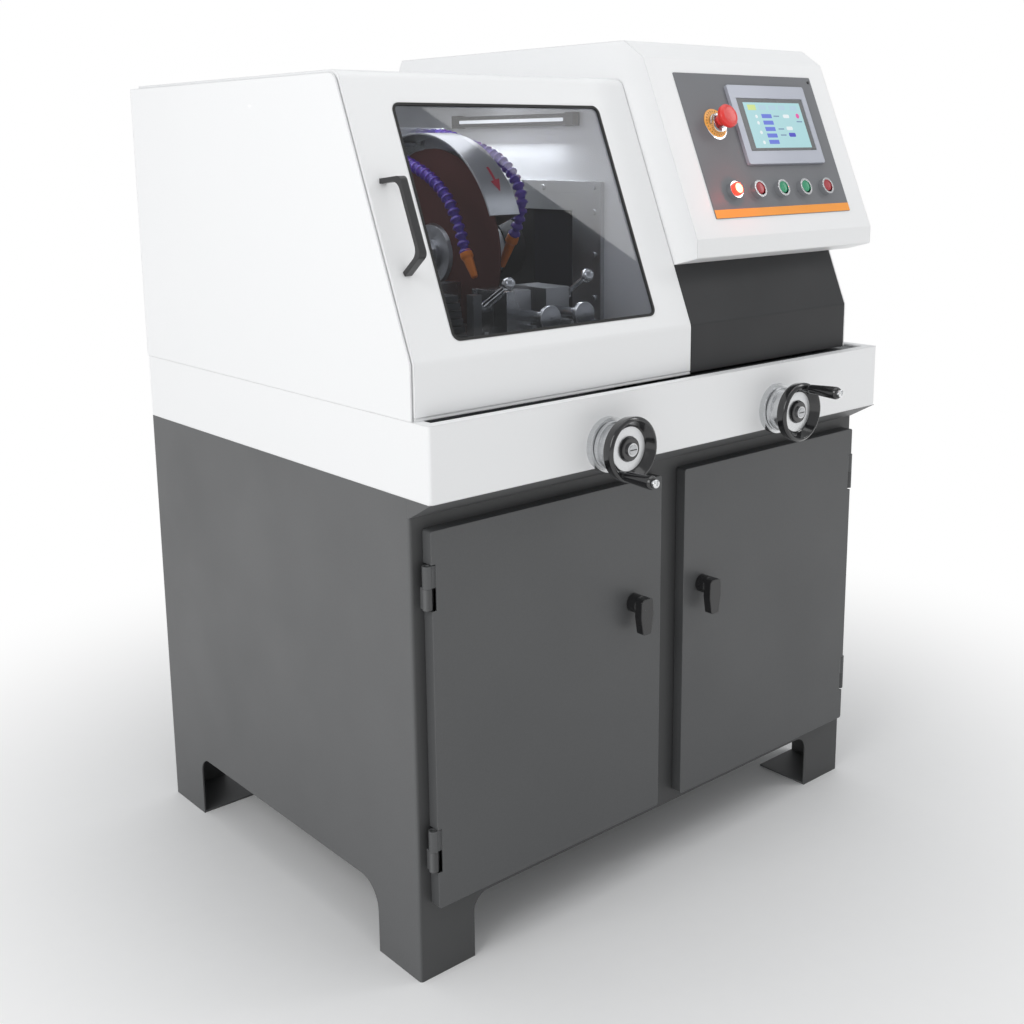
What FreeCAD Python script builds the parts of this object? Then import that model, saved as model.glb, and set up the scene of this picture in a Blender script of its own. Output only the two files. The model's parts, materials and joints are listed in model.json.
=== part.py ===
import FreeCAD, Part

import math
import os

import Sketcher
from FreeCAD import Placement, Rotation, Vector

# Floor-standing wet abrasive cut-off machine.  Lengths are millimetres, angles are degrees.
# Machine coordinates: x from the left side panel, y from the cabinet front (rear is +),
# z up from the floor.  Every node is shifted by (-half_width, -cabinet_front, 0), which puts the
# origin on the floor under the middle of the whole machine.

DIMENSIONS = {
    # overall
    "width": 1020, "depth": 790, "half_width": 510, "cabinet_front": 307.5,
    "sheet": 2.5, "cab_sheet": 3, "fit_gap": 0.05, "free_gap": 0.4,
    # cabinet
    "cab_top": 714, "flare_top": 742, "flare_out": 50, "cab_corner": 5,
    "foot_width": 102, "foot_front": 107, "foot_rear": 677, "right_foot": 916,
    "arch_front": 102, "arch_side": 113, "arch_round": 28, "side_round": 45,
    "floor_pan": 113, "door_open_low": 140, "door_open_high": 677,
    "left_open_start": 40, "left_open_end": 466, "divider_x": 511, "top_flange": 28,
    # doors
    "door_low": 122, "door_high": 695, "door_out": 20, "door_edge": 22, "door_end": 484,
    "right_door_edge": 540, "door_stand_off": 0.6, "door_round": 4,
    "hinge_x": 19.5, "hinge_y": -12, "knuckle_r": 7, "pin_r": 4,
    "hinge_low": 181, "hinge_high": 581, "hinge_tall": 64, "hinge_half": 31,
    "lever_left_x": 421, "lever_right_x": 584, "lever_left_z": 497, "lever_right_z": 492,
    "lever_hub_r": 15, "lever_face": -38, "lever_front": -52, "lever_drop": 46,
    "lever_up": 13, "lever_half": 14, "lever_tip": 9, "lever_shaft_r": 8, "cam_reach": 24,
    "gland_x": 900, "gland_y": 700, "gland_thread_r": 11, "gland_bore": 5,
    # bed tray
    "tray_top": 851, "tray_rim": 18, "drain_r": 25, "drain_x": 300, "drain_y": 400,
    "feed_z": 776, "left_feed_x": 331, "right_feed_x": 730, "shaft_r": 10, "sleeve_r": 16,
    # hood and cover
    "hood_top": 1320, "hood_corner_y": 145, "bend_y": -16, "bend_z": 930, "cover_foot": 856,
    "cover_left": 4.5, "cover_right": 552.5, "cover_rear": 766, "cover_round": 20,
    "cover_return": 20, "side_setback": 4, "hinge_axis_y": 772, "hinge_axis_z": 1306,
    "cover_pin_r": 4, "cover_knuckle_r": 7.5, "rear_flange": 7, "rear_top": 1314,
    "window_left": 79, "window_right": 481, "window_top": 48, "window_foot": 398,
    "window_round": 13, "gasket": 4, "glass": 6, "glass_lap": 9,
    "handle_x": 31, "handle_high": 167, "handle_low": 294, "handle_out": 40,
    "handle_bar": 7, "handle_wide": 12, "handle_round": 16, "handle_flare": 12,
    # control housing
    "housing_left": 554, "housing_top": 1381, "housing_y": 140, "brow_y": 97.6,
    "brow_z": 1353.2, "chin_y": -25.4, "chin_z": 1066.7, "chin_foot": 1036.8,
    "throat_y": 22, "throat_z": 1024.5, "housing_rear": 756, "lower_right": 966,
    "panel_left": 612, "panel_right": 972, "panel_top": 26, "panel_foot": 280,
    "panel_thick": 1.5, "panel_lap": 8, "screen_left": 728, "screen_right": 935,
    "screen_high": 47.5, "screen_low": 190.5, "screen_out": 7.5, "screen_back": 34,
    "glass_left": 743, "glass_right": 922, "glass_high": 71, "glass_low": 167,
    "button_row": 235, "button_first": 670, "button_pitch": 61.5, "ring_r": 14.75,
    "ring_bore": 11.4, "ring_out": 12, "cap_r": 11, "cap_travel": 4, "cap_out": 11,
    "stem_r": 5, "stem_bore": 5.4, "block_wide": 30, "block_deep": 46,
    "stop_x": 678, "stop_s": 119, "stop_disc_r": 25, "stop_head_r": 20, "stop_out": 38,
    "stop_collar_r": 15, "stop_collar_out": 13, "stop_stem_r": 9,
    # chamber
    "partition_x": 545, "axis_y": 358, "axis_z": 1037, "wheel_x": 322.75,
    "wheel_thick": 2.5, "wheel_r": 175, "flange_r": 52, "flange_thick": 6, "boss_r": 26,
    "boss_long": 7, "nut_across": 33, "nut_long": 9, "spindle_end": 289, "spindle_r": 15,
    "nose_r": 50, "nose_small": 24, "nose_start": 404, "arm_start": 440, "arm_end": 482,
    "arm_r": 53, "arm_wall": 5, "motor_axis_y": 430, "neck_r": 35, "neck_bore": 20,
    "neck_end": 645, "motor_shaft_r": 12, "spindle_pulley": 24, "motor_pulley_r": 30,
    "pulley_start": 452, "pulley_end": 470, "belt_thick": 4,
    "guard_r": 200, "guard_thick": 3, "guard_left": 294, "guard_right": 354,
    "guard_start": -25, "guard_sweep": 184, "guard_hole": 62, "strut_r": 8,
    "frame_front": 176, "frame_rear": 560, "frame_low": 905, "frame_high": 1155,
    "plate_front": 222, "plate_rear": 540, "plate_low": 922, "plate_high": 1135,
    "bellows_front": 250, "bellows_rear": 520, "bellows_low": 926, "bellows_high": 1105,
    "seal_front": 359, "seal_rear": 476, "pleat": 12, "pleat_deep": 14, "pleat_skin": 1.6,
    "lamp_front": 256, "lamp_rear": 548, "lamp_low": 1249, "lamp_high": 1268, "lamp_out": 16,
    # table
    "table_left": 120, "table_right": 518, "table_front": 85, "table_rear": 600,
    "table_low": 905, "table_top": 925, "slot_left": 304, "slot_right": 342,
    "slot_front": 140, "slot_rear": 545, "rack_z": 786.4,
    # vises
    "left_block": 258, "left_block_end": 306, "right_block": 338, "right_block_end": 386,
    "block_front": 92, "nut_rear": 124, "jaw_front": 125, "jaw_rear": 165,
    "block_low": 931, "block_top": 998, "screw_left_x": 289, "screw_right_x": 359,
    "screw_z": 961, "screw_r": 9, "screw_head_r": 20, "screw_face": 26, "screw_head": 8,
    "fixed_jaw_front": 262, "fixed_jaw_rear": 290,
    "ball_r": 10.5, "cam_r": 9, "cam_wide": 10, "cam_arm_r": 4,
    # drive compartment
    "deck_low": 838, "deck_top": 848, "rail_left": 600, "rail_right": 860, "rail_wide": 20,
    "rail_top": 862, "plate_z": 875, "plate_thick": 18, "carriage_left": 575,
    "carriage_right": 905, "carriage_front": 300, "carriage_back": 640,
    "motor_start": 660, "motor_end": 900, "motor_r": 80,
    # handwheels
    "rim_r": 50, "rim_back": -91, "rim_front": -110, "web_y": -95, "hub_r": 19,
    "ring_outer_r": 34, "hub_front": -101, "hub_back": -80, "dial_r": 37, "dial_step_r": 33,
    "grip_offset": 41, "grip_boss_r": 6, "grip_r": 7.5, "grip_end_r": 10.5, "grip_start": -111.5,
    "grip_end": -168, "grip_pin_r": 4, "grip_tip_r": 6.5, "grip_tip": -175,
    "bearing_r": 42, "bearing_thick": 10, "left_grip_angle": 238, "right_grip_angle": 72,
}

doc = FreeCAD.newDocument("CutOffMachine")
sheet = doc.addObject("Spreadsheet::Sheet", "Dims")


class Size:
    """A length that knows its value and the spreadsheet expression it comes from."""

    def __init__(self, value, text):
        self.value = float(value)
        self.text = text

    def joined(self, value, sign, other, swapped=False):
        first, second = (text_of(other), self.text) if swapped else (self.text, text_of(other))
        return Size(value, f"({first} {sign} {second})")

    def __add__(self, other):
        return self.joined(self.value + number(other), "+", other)

    def __radd__(self, other):
        return self.joined(number(other) + self.value, "+", other, True)

    def __sub__(self, other):
        return self.joined(self.value - number(other), "-", other)

    def __rsub__(self, other):
        return self.joined(number(other) - self.value, "-", other, True)

    def __mul__(self, other):
        return self.joined(self.value * number(other), "*", other)

    def __rmul__(self, other):
        return self.joined(number(other) * self.value, "*", other, True)

    def __truediv__(self, other):
        return self.joined(self.value / number(other), "/", other)

    def __rtruediv__(self, other):
        return self.joined(number(other) / self.value, "/", other, True)

    def __neg__(self):
        return Size(-self.value, f"(0 - {self.text})")


def number(size):
    return size.value if isinstance(size, Size) else float(size)


def text_of(size):
    return size.text if isinstance(size, Size) else repr(float(size))


class Dims:
    """Each driving dimension as an attribute."""


for row, (alias, value) in enumerate(DIMENSIONS.items(), start=1):
    sheet.set(f"A{row}", alias)
    sheet.set(f"B{row}", str(value))
    sheet.setAlias(f"B{row}", alias)
    setattr(Dims, alias, Size(value, f"Dims.{alias}"))
doc.recompute()
D = Dims


def bind(thing, field, size):
    if isinstance(size, Size):
        thing.setExpression(field, size.text)
    elif "." in field or "[" in field:
        thing.setExpression(field, repr(float(size)))
    else:
        setattr(thing, field, float(size))


# ---------------------------------------------------------------- points and outlines

def rect(u0, v0, u1, v1, radius=0):
    return [(u0, v0, radius), (u1, v0, radius), (u1, v1, radius), (u0, v1, radius)]


def circle(u, v, radius):
    return ("circle", u, v, radius)


def unit(start, end):
    """Direction from one (u, v) point to another, as plain numbers."""
    du, dv = number(end[0] - start[0]), number(end[1] - start[1])
    size = math.hypot(du, dv)
    return du / size, dv / size


def offset_path(points, gap):
    """The open path moved to its left by gap, with mitred corners."""
    moved = []
    for i, here in enumerate(points):
        if i == 0 or i == len(points) - 1:
            pair = points[:2] if i == 0 else points[-2:]
            du, dv = unit(*pair)
            moved.append((here[0] - dv * gap, here[1] + du * gap))
            continue
        au, av = unit(points[i - 1], here)
        bu, bv = unit(here, points[i + 1])
        share = gap / (1 + au * bu + av * bv)
        moved.append((here[0] - (av + bv) * share, here[1] + (au + bu) * share))
    return moved


def inset(points, gap):
    """A closed counter-clockwise outline moved inwards by gap."""
    ring = [points[-1], *points, points[0]]
    return offset_path(ring, gap)[1:-1]


def rounded(points, radius):
    return [(u, v, radius) for u, v in points]


def strip(points, thick, radius):
    """Outline of a sheet bent along an open path, with rounded outer and inner bends."""
    inner = offset_path(points, thick)
    last = len(points) - 1
    outer = [(*p, radius if 0 < i < last else 0) for i, p in enumerate(points)]
    inner = [(*p, radius - thick if 0 < i < last else 0) for i, p in enumerate(inner)]
    return outer + inner[::-1]


# ---------------------------------------------------------------- sketches

def pin_point(sketch, geometry, spot, u, v, kinds=("DistanceX", "DistanceY")):
    """Fix one point of a sketch at (u, v) from the sketch's origin, or just one of the two."""
    for kind, size in zip(("DistanceX", "DistanceY"), (u, v)):
        if kind not in kinds:
            continue
        index = sketch.addConstraint(
            Sketcher.Constraint(kind, -1, 1, geometry, spot, number(size)))
        if isinstance(size, Size):
            sketch.setExpression(f"Constraints[{index}]", size.text)


def pin_radius(sketch, geometry, radius):
    index = sketch.addConstraint(Sketcher.Constraint("Radius", geometry, number(radius)))
    if isinstance(radius, Size):
        sketch.setExpression(f"Constraints[{index}]", radius.text)


def corner_geometry(before, here, after, radius):
    """Start, middle and end of the arc that rounds a corner."""
    back, ahead = (before - here).normalize(), (after - here).normalize()
    half = back.getAngle(ahead) / 2
    run = radius / math.tan(half)
    middle = (back + ahead).normalize()
    centre = here + middle * (radius / math.sin(half))
    return here + back * run, centre - middle * radius, here + ahead * run


def add_corner_arc(sketch, before, here, after, radius):
    """Rounds a corner of an outline; gives the arc and the two ends of it, in order."""
    spots = [Vector(number(p[0]), number(p[1]), 0) for p in (before, here, after)]
    entry, middle, leave = corner_geometry(*spots, number(radius))
    arc = sketch.addGeometry(Part.Arc(entry, middle, leave))
    at_start = sketch.getPoint(arc, 1).distanceToPoint(entry) < 1e-6
    ends = (1, 2) if at_start else (2, 1)
    centre = sketch.Geometry[arc].Center
    reach = leave - centre
    both = ("DistanceX", "DistanceY")
    one = both[:1] if abs(reach.y) > abs(reach.x) else both[1:]
    for spot, place, kinds in ((3, centre, both), (ends[0], entry, both), (ends[1], leave, one)):
        away = (place - spots[1]) * (1 / number(radius))
        pin_point(sketch, arc, spot, here[0] + radius * away.x, here[1] + radius * away.y, kinds)
    return arc, ends, (entry, leave)


def add_outline(sketch, corners):
    """A closed outline of lines and tangent arcs through corners (u, v, radius)."""
    corners = [(*c, 0) if len(c) == 2 else c for c in corners]
    count = len(corners)
    entry = [Vector(number(u), number(v), 0) for u, v, _ in corners]
    leave = list(entry)
    arcs = {}
    for i, corner in enumerate(corners):
        if number(corner[2]) <= 0:
            continue
        arc, ends, spots = add_corner_arc(sketch, corners[i - 1], corner,
                                          corners[(i + 1) % count], corner[2])
        arcs[i] = (arc, ends)
        entry[i], leave[i] = spots
    lines = [sketch.addGeometry(Part.LineSegment(leave[i], entry[(i + 1) % count]))
             for i in range(count)]
    for i, (u, v, _) in enumerate(corners):
        if i in arcs:
            arc, (first, second) = arcs[i]
            sketch.addConstraint(
                Sketcher.Constraint("Coincident", lines[i - 1], 2, arc, first))
            sketch.addConstraint(Sketcher.Constraint("Coincident", lines[i], 1, arc, second))
        else:
            sketch.addConstraint(
                Sketcher.Constraint("Coincident", lines[i - 1], 2, lines[i], 1))
            pin_point(sketch, lines[i], 1, u, v)


def fill_sketch(sketch, loops):
    for loop in loops:
        if loop[0] == "circle":
            _, u, v, radius = loop
            index = sketch.addGeometry(
                Part.Circle(Vector(number(u), number(v), 0), Vector(0, 0, 1), number(radius)))
            pin_point(sketch, index, 3, u, v)
            pin_radius(sketch, index, radius)
        else:
            add_outline(sketch, loop)


class Slope:
    """A sloping face that runs along x: s is measured down it from its top edge, h outwards."""

    def __init__(self, top_y, top_z, foot_y, foot_z):
        self.top = (top_y, top_z)
        self.up = unit((foot_y, foot_z), (top_y, top_z))
        self.out = (-self.up[1], self.up[0])

    def point(self, s, h):
        return (self.top[0] - self.up[0] * s + self.out[0] * h,
                self.top[1] - self.up[1] * s + self.out[1] * h)

    def normal(self):
        return Vector(0, number(self.out[0]), number(self.out[1]))

    def angle(self):
        return math.degrees(math.atan2(number(self.up[1]), number(self.up[0])))


COVER = Slope(D.hood_corner_y, D.hood_top, D.bend_y, D.bend_z)
PANEL = Slope(D.brow_y, D.brow_z, D.chin_y, D.chin_z)
node_shapes = {}
places = {}


def finish(label, thing):
    """Name a sub-part and move it from machine coordinates to the row's frame."""
    thing.Label = label
    x, y, z = places.get(thing.Name, (0, 0, 0))
    bind(thing, "Placement.Base.x", x - D.half_width)
    bind(thing, "Placement.Base.y", y - D.cabinet_front)
    bind(thing, "Placement.Base.z", z)
    node_shapes[label] = thing


class Piece:
    """A PartDesign body built from sketches on its own origin planes."""

    def __init__(self, name):
        self.body = doc.addObject("PartDesign::Body", name)
        self.count = 0

    def plane(self, role):
        return next(f for f in self.body.Origin.OriginFeatures if f.Role == role)

    def sketch(self, plane, low, high, loops):
        """A sketch at the low end of low..high (the high end on XZ, whose normal is -y)."""
        self.count += 1
        name = f"{self.body.Name}_sketch{self.count}"
        sketch = self.body.newObject("Sketcher::SketchObject", name)
        if plane in ("COVER", "PANEL"):
            slope = COVER if plane == "COVER" else PANEL
            sketch.AttachmentSupport = [(self.plane("XY_Plane"), "")]
            y, z = slope.point(0, low)
            sketch.AttachmentOffset = Placement(
                Vector(0, number(y), number(z)), Rotation(Vector(1, 0, 0), slope.angle()))
            bind(sketch, "AttachmentOffset.Base.y", y)
            bind(sketch, "AttachmentOffset.Base.z", z)
        elif plane == "COVER_SIDE":
            sketch.AttachmentSupport = [(self.plane("YZ_Plane"), "")]
            sketch.AttachmentOffset = Placement(
                Vector(number(COVER.top[0]), number(COVER.top[1]), number(low)),
                Rotation(Vector(0, 0, 1), COVER.angle()))
            bind(sketch, "AttachmentOffset.Base.x", COVER.top[0])
            bind(sketch, "AttachmentOffset.Base.y", COVER.top[1])
            bind(sketch, "AttachmentOffset.Base.z", low)
        else:
            sketch.AttachmentSupport = [(self.plane(plane + "_Plane"), "")]
            start = -high if plane == "XZ" else low
            sketch.AttachmentOffset = Placement(Vector(0, 0, number(start)), Rotation())
            bind(sketch, "AttachmentOffset.Base.z", start)
        sketch.MapMode = "FlatFace"
        fill_sketch(sketch, loops)
        return sketch

    def pad(self, plane, low, high, *loops):
        sketch = self.sketch(plane, low, high, loops)
        pad = self.body.newObject("PartDesign::Pad", sketch.Name + "_pad")
        pad.Profile = sketch
        bind(pad, "Length", high - low)
        return self

    def pocket(self, plane, low, high, *loops):
        """Remove the loops between low and high; the cut runs along the sketch's normal."""
        doc.recompute()
        before = self.body.Shape.Volume
        sketch = self.sketch(plane, low, high, loops)
        pocket = self.body.newObject("PartDesign::Pocket", sketch.Name + "_pocket")
        pocket.Profile = sketch
        pocket.Reversed = True
        bind(pocket, "Length", high - low)
        doc.recompute()
        if not self.body.Shape.Volume < before - 1e-3:
            raise RuntimeError(f"{pocket.Name} removed nothing")
        return self

    def done(self, label):
        finish(label, self.body)


# ---------------------------------------------------------------- primitives and booleans

def positioned(thing, x, y, z, rotation=None):
    thing.Placement = Placement(Vector(number(x), number(y), number(z)), rotation or Rotation())
    bind(thing, "Placement.Base.x", x)
    bind(thing, "Placement.Base.y", y)
    bind(thing, "Placement.Base.z", z)
    places[thing.Name] = (x, y, z)
    return thing


def box(x, y, z):
    """A block between the given pairs of x, y and z."""
    thing = doc.addObject("Part::Box", "block")
    for field, pair in (("Length", x), ("Width", y), ("Height", z)):
        bind(thing, field, pair[1] - pair[0])
    return positioned(thing, x[0], y[0], z[0])


TURN = {"X": Rotation(Vector(0, 1, 0), 90), "Y": Rotation(Vector(1, 0, 0), -90), "Z": Rotation()}


def on_axis(axis, centre, along):
    """A point at 'along' on a line parallel to axis through centre (the other two values)."""
    a, b = centre
    return {"X": (along, a, b), "Y": (a, along, b), "Z": (a, b, along)}[axis]


def rod(axis, centre, low, high, radius):
    thing = doc.addObject("Part::Cylinder", "rod")
    bind(thing, "Radius", radius)
    bind(thing, "Height", high - low)
    return positioned(thing, *on_axis(axis, centre, low), TURN[axis])


def cone(axis, centre, low, high, radius_low, radius_high):
    thing = doc.addObject("Part::Cone", "cone")
    bind(thing, "Radius1", radius_low)
    bind(thing, "Radius2", radius_high)
    bind(thing, "Height", high - low)
    return positioned(thing, *on_axis(axis, centre, low), TURN[axis])


def ball(x, y, z, radius):
    thing = doc.addObject("Part::Sphere", "ball")
    bind(thing, "Radius", radius)
    return positioned(thing, x, y, z)


def slope_rod(slope, x, s, low, high, radius):
    """A cylinder square to a slope, from height low to height high above it."""
    thing = doc.addObject("Part::Cylinder", "rod")
    bind(thing, "Radius", radius)
    bind(thing, "Height", high - low)
    return positioned(thing, x, *slope.point(s, low), Rotation(Vector(0, 0, 1), slope.normal()))


def slope_box(slope, x, s, h):
    """A block on a slope between the given pairs of x, s and h."""
    thing = doc.addObject("Part::Box", "block")
    for field, pair in (("Length", x), ("Width", s), ("Height", h)):
        bind(thing, field, pair[1] - pair[0])
    turn = Rotation(Vector(1, 0, 0), slope.angle())
    return positioned(thing, x[0], *slope.point(s[1], h[0]), turn)


def join(*things):
    if len(things) == 1:
        return things[0]
    thing = doc.addObject("Part::MultiFuse", "joined")
    thing.Shapes = list(things)
    return thing


def cut(base, *tools):
    thing = doc.addObject("Part::Cut", "cut")
    thing.Base = base
    thing.Tool = join(*tools)
    return thing


def tube(axis, centre, low, high, outer, inner):
    return cut(rod(axis, centre, low, high, outer), rod(axis, centre, low - 1, high + 1, inner))


def sector(centre, low, high, radius, start, sweep):
    """Part of a disc about an x axis; start and sweep are angles from +y towards +z."""
    thing = doc.addObject("Part::Cylinder", "sector")
    bind(thing, "Radius", radius)
    bind(thing, "Height", high - low)
    bind(thing, "Angle", sweep)
    a = math.radians(number(start))
    first = Vector(0, math.cos(a), math.sin(a))
    second = Vector(0, -math.sin(a), math.cos(a))
    turn = Rotation(first, second, Vector(1, 0, 0), "ZXY")
    return positioned(thing, low, *centre, turn)


def turned(name, axis, centre, profile):
    """A PartDesign revolution of (radius, position along axis) about a machine axis."""
    body = doc.addObject("PartDesign::Body", name)
    sketch = body.newObject("Sketcher::SketchObject", name + "_profile")
    plane = next(f for f in body.Origin.OriginFeatures if f.Role == "XY_Plane")
    sketch.AttachmentSupport = [(plane, "")]
    sketch.MapMode = "FlatFace"
    add_outline(sketch, profile)
    solid = body.newObject("PartDesign::Revolution", name + "_turned")
    solid.Profile = sketch
    solid.ReferenceAxis = (sketch, ["V_Axis"])
    solid.Angle = 360
    turn = {"X": Rotation(Vector(0, 0, 1), -90), "Y": Rotation(),
            "Z": Rotation(Vector(1, 0, 0), 90)}[axis]
    return positioned(body, *on_axis(axis, centre, 0), turn)


def mirrored(x):
    return D.width - x


# ---------------------------------------------------------------- cabinet

def make_cabinet():
    wall, width, depth = D.cab_sheet, D.width, D.depth
    inner_right, inner_rear = width - wall, depth - wall
    inside = rect(wall, wall, inner_right, inner_rear, D.cab_corner - wall)
    piece = Piece("cabinet")
    piece.pad("XY", 0, D.flare_top, rect(0, 0, width, depth, D.cab_corner), inside)
    piece.pad("XY", D.floor_pan, D.floor_pan + wall, rect(wall, wall, inner_right, inner_rear))
    for low_x in (wall, D.right_foot):
        high_x = low_x + D.foot_width - wall if low_x is wall else inner_right
        piece.pad("XY", 0, wall, rect(low_x, wall, high_x, D.foot_front))
        piece.pad("XY", 0, wall, rect(low_x, D.foot_rear, high_x, inner_rear))
    front_arch = [(D.foot_width, -1), (D.right_foot, -1),
                  (D.right_foot, D.arch_front, D.arch_round),
                  (D.foot_width, D.arch_front, D.arch_round)]
    piece.pocket("XZ", -1, depth + 1, front_arch)
    side_arch = [(D.foot_front, -1), (D.foot_rear, -1),
                 (D.foot_rear, D.arch_side, D.arch_round),
                 (D.foot_front, D.arch_side, D.side_round)]
    piece.pocket("YZ", -1, wall, side_arch)
    piece.pocket("YZ", inner_right, width + 1, side_arch)
    openings = [rect(D.left_open_start, D.door_open_low, D.left_open_end, D.door_open_high, 6),
                rect(mirrored(D.left_open_end), D.door_open_low, mirrored(D.left_open_start),
                     D.door_open_high, 6)]
    piece.pocket("XZ", -1, wall, *openings)
    flare = [(0, D.cab_top), (wall, D.cab_top + 1), (-D.flare_out + 5.5, D.flare_top),
             (-D.flare_out, D.flare_top)]
    piece.pad("YZ", 0, width, flare)
    end_cap = [(0, D.cab_top), (wall, D.cab_top + 1), (wall, D.flare_top),
               (-D.flare_out, D.flare_top)]
    piece.pad("YZ", 0, wall, end_cap)
    piece.pad("YZ", inner_right, width, end_cap)
    lip = D.top_flange
    piece.pad("XY", D.flare_top - wall, D.flare_top,
              rect(wall, wall, inner_right, inner_rear),
              rect(lip, lip, width - lip, depth - lip))
    piece.pad("YZ", D.divider_x, D.divider_x + wall,
              rect(wall, D.floor_pan + wall, inner_rear, D.flare_top - wall))
    piece.pocket("XY", D.floor_pan - 1, D.floor_pan + wall + 1,
                 circle(D.gland_x, D.gland_y, D.gland_thread_r + D.fit_gap))
    piece.done("cabinet_body")


def hinge_places():
    """(x, low z) of every door hinge."""
    return [(x, z) for x in (D.hinge_x, mirrored(D.hinge_x)) for z in (D.hinge_low, D.hinge_high)]


def make_door_hinge_pins():
    parts = []
    for x, low in hinge_places():
        centre = (x, D.hinge_y)
        parts.append(join(
            rod("Z", centre, low, low + D.hinge_half, D.knuckle_r),
            rod("Z", centre, low + D.hinge_half, low + D.hinge_tall - 2, D.pin_r),
            box((x - 3.5, x + 3.5), (D.hinge_y, 0), (low, low + D.hinge_half))))
    finish("door_hinge_pins", join(*parts))


def make_door(label, side, hinge_x, edge, end, lever_x, lever_z):
    """side is +1 when the door runs towards +x from its hinge, -1 when it runs the other way."""
    low_x, high_x = (edge, end) if side > 0 else (end, edge)
    skin, back = D.sheet, -D.door_stand_off
    piece = Piece(label + "_panel")
    outline = rect(low_x, D.door_low, high_x, D.door_high, D.door_round)
    inner = rect(low_x + skin, D.door_low + skin, high_x - skin, D.door_high - skin,
                 D.door_round - skin)
    piece.pad("XZ", -D.door_out, skin - D.door_out, outline)
    piece.pad("XZ", skin - D.door_out, back, outline, inner)
    lip = [rect(low_x + skin, D.door_low + skin, high_x - skin, D.door_high - skin),
           rect(low_x + 16, D.door_low + 16, high_x - 16, D.door_high - 16, 4)]
    piece.pad("XZ", back - skin, back, *lip)
    notch = (edge - side * 1, edge + side * 8)
    for low in (D.hinge_low, D.hinge_high):
        piece.pocket("XZ", -D.door_out - 1, 0,
                     rect(min(notch, key=number), low - 2, max(notch, key=number),
                          low + D.hinge_tall + 2))
    piece.pocket("XZ", -D.door_out - 1, skin - D.door_out,
                 circle(lever_x, lever_z, D.lever_shaft_r + D.fit_gap))
    doc.recompute()
    parts = [piece.body]
    bores = []
    for low in (D.hinge_low, D.hinge_high):
        centre = (hinge_x, D.hinge_y)
        start, top = low + D.hinge_half + D.free_gap, low + D.hinge_tall
        leaf_low, leaf_high = hinge_x + side * 4.5, hinge_x + side * 26
        parts.append(rod("Z", centre, start, top, D.knuckle_r))
        leaf = sorted((leaf_low, leaf_high), key=number)
        parts.append(box(leaf, (skin - D.door_out, skin - D.door_out + 4), (start, top)))
        bores.append(rod("Z", centre, start - 1, top + 1, D.pin_r + D.fit_gap))
    finish(label, cut(join(*parts), *bores))


def make_door_lever(label, side, x, z):
    """Drop lever with its stand-off hub, shaft and the latch tongue behind the door."""
    piece = Piece(label + "_grip")
    half, tip = D.lever_half, D.lever_tip
    outline = [(x - tip, z - D.lever_drop, 4), (x + tip, z - D.lever_drop, 4),
               (x + half, z - D.lever_drop * 0.35, 20), (x + half - 1, z + D.lever_up, 7),
               (x - half + 1, z + D.lever_up, 7), (x - half, z - D.lever_drop * 0.35, 20)]
    piece.pad("XZ", D.lever_front, D.lever_face, outline)
    tongue = sorted((x - side * 9, x + side * D.cam_reach), key=number)
    finish(label, join(
        piece.body,
        rod("Y", (x, z), D.lever_face, -D.door_out - D.free_gap, D.lever_hub_r),
        rod("Y", (x, z), -D.door_out - D.free_gap, 6.6, D.lever_shaft_r),
        box(tongue, (3.6, 6.6), (z - 9, z + 9))))


def make_cabinet_contents():
    wall = D.cab_sheet
    tank_x, tank_y, tank_z = (62, 460), (140, 640), (D.floor_pan + wall, 420)
    cavity = box((tank_x[0] + 3, tank_x[1] - 3), (tank_y[0] + 3, tank_y[1] - 3),
                 (tank_z[0] + 3, 440))
    baffle = box((tank_x[0] + 3, tank_x[1] - 3), (395, 398), (tank_z[0] + 3, 380))
    finish("coolant_tank", join(cut(box(tank_x, tank_y, tank_z), cavity), baffle))
    pump = (380, 702)
    finish("coolant_pump", join(
        rod("Z", pump, D.floor_pan + wall, 150, 58), rod("Z", pump, 150, 330, 52),
        rod("Z", pump, 330, 348, 56), rod("Y", (pump[0], 180), tank_y[1] + 0.5, pump[1], 16),
        box((326, 346), (pump[1] - 30, pump[1] + 30), (220, 280))))
    plate = box((560, 980), (744, 747), (170, 690))
    gear = [box((580 + 95 * i, 660 + 95 * i), (650, 744), (520, 640)) for i in range(4)]
    drive = box((600, 760), (600, 744), (220, 460))
    trunk = box((580, 960), (704, 744), (475, 505))
    posts = [box((x, x + 20), (747, 787), (z, z + 20))
             for x in (570, 950) for z in (180, 660)]
    finish("electrical_panel", join(plate, *gear, drive, trunk, *posts))
    gland = (D.gland_x, D.gland_y)
    finish("cable_gland", cut(
        join(rod("Z", gland, 92, D.floor_pan, 15), rod("Z", gland, D.floor_pan + wall, 126, 17),
             rod("Z", gland, D.floor_pan, D.floor_pan + wall, D.gland_thread_r)),
        rod("Z", gland, 80, 140, D.gland_bore)))


# ---------------------------------------------------------------- bed, base and feeds

def make_bed_tray():
    wall, width, depth = D.cab_sheet, D.width, D.depth
    front, top = -D.flare_out, D.tray_top
    outline = rect(0, front, width, depth, 5)
    inside = rect(wall, front + wall, width - wall, depth - wall, 2)
    rim = rect(D.tray_rim, front + D.tray_rim, width - D.tray_rim, depth - D.tray_rim)
    piece = Piece("tray")
    piece.pad("XY", D.flare_top, top, outline, inside)
    piece.pad("XY", D.flare_top, D.flare_top + wall, outline)
    piece.pad("XY", top - wall, top, outline, rim)
    piece.pocket("XY", D.flare_top - 1, D.flare_top + wall, circle(D.drain_x, D.drain_y, D.drain_r))
    piece.pocket("XZ", front - 1, front + wall,
                 *[circle(x, D.feed_z, D.sleeve_r) for x in (D.left_feed_x, D.right_feed_x)])
    piece.done("bed_tray")


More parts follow.
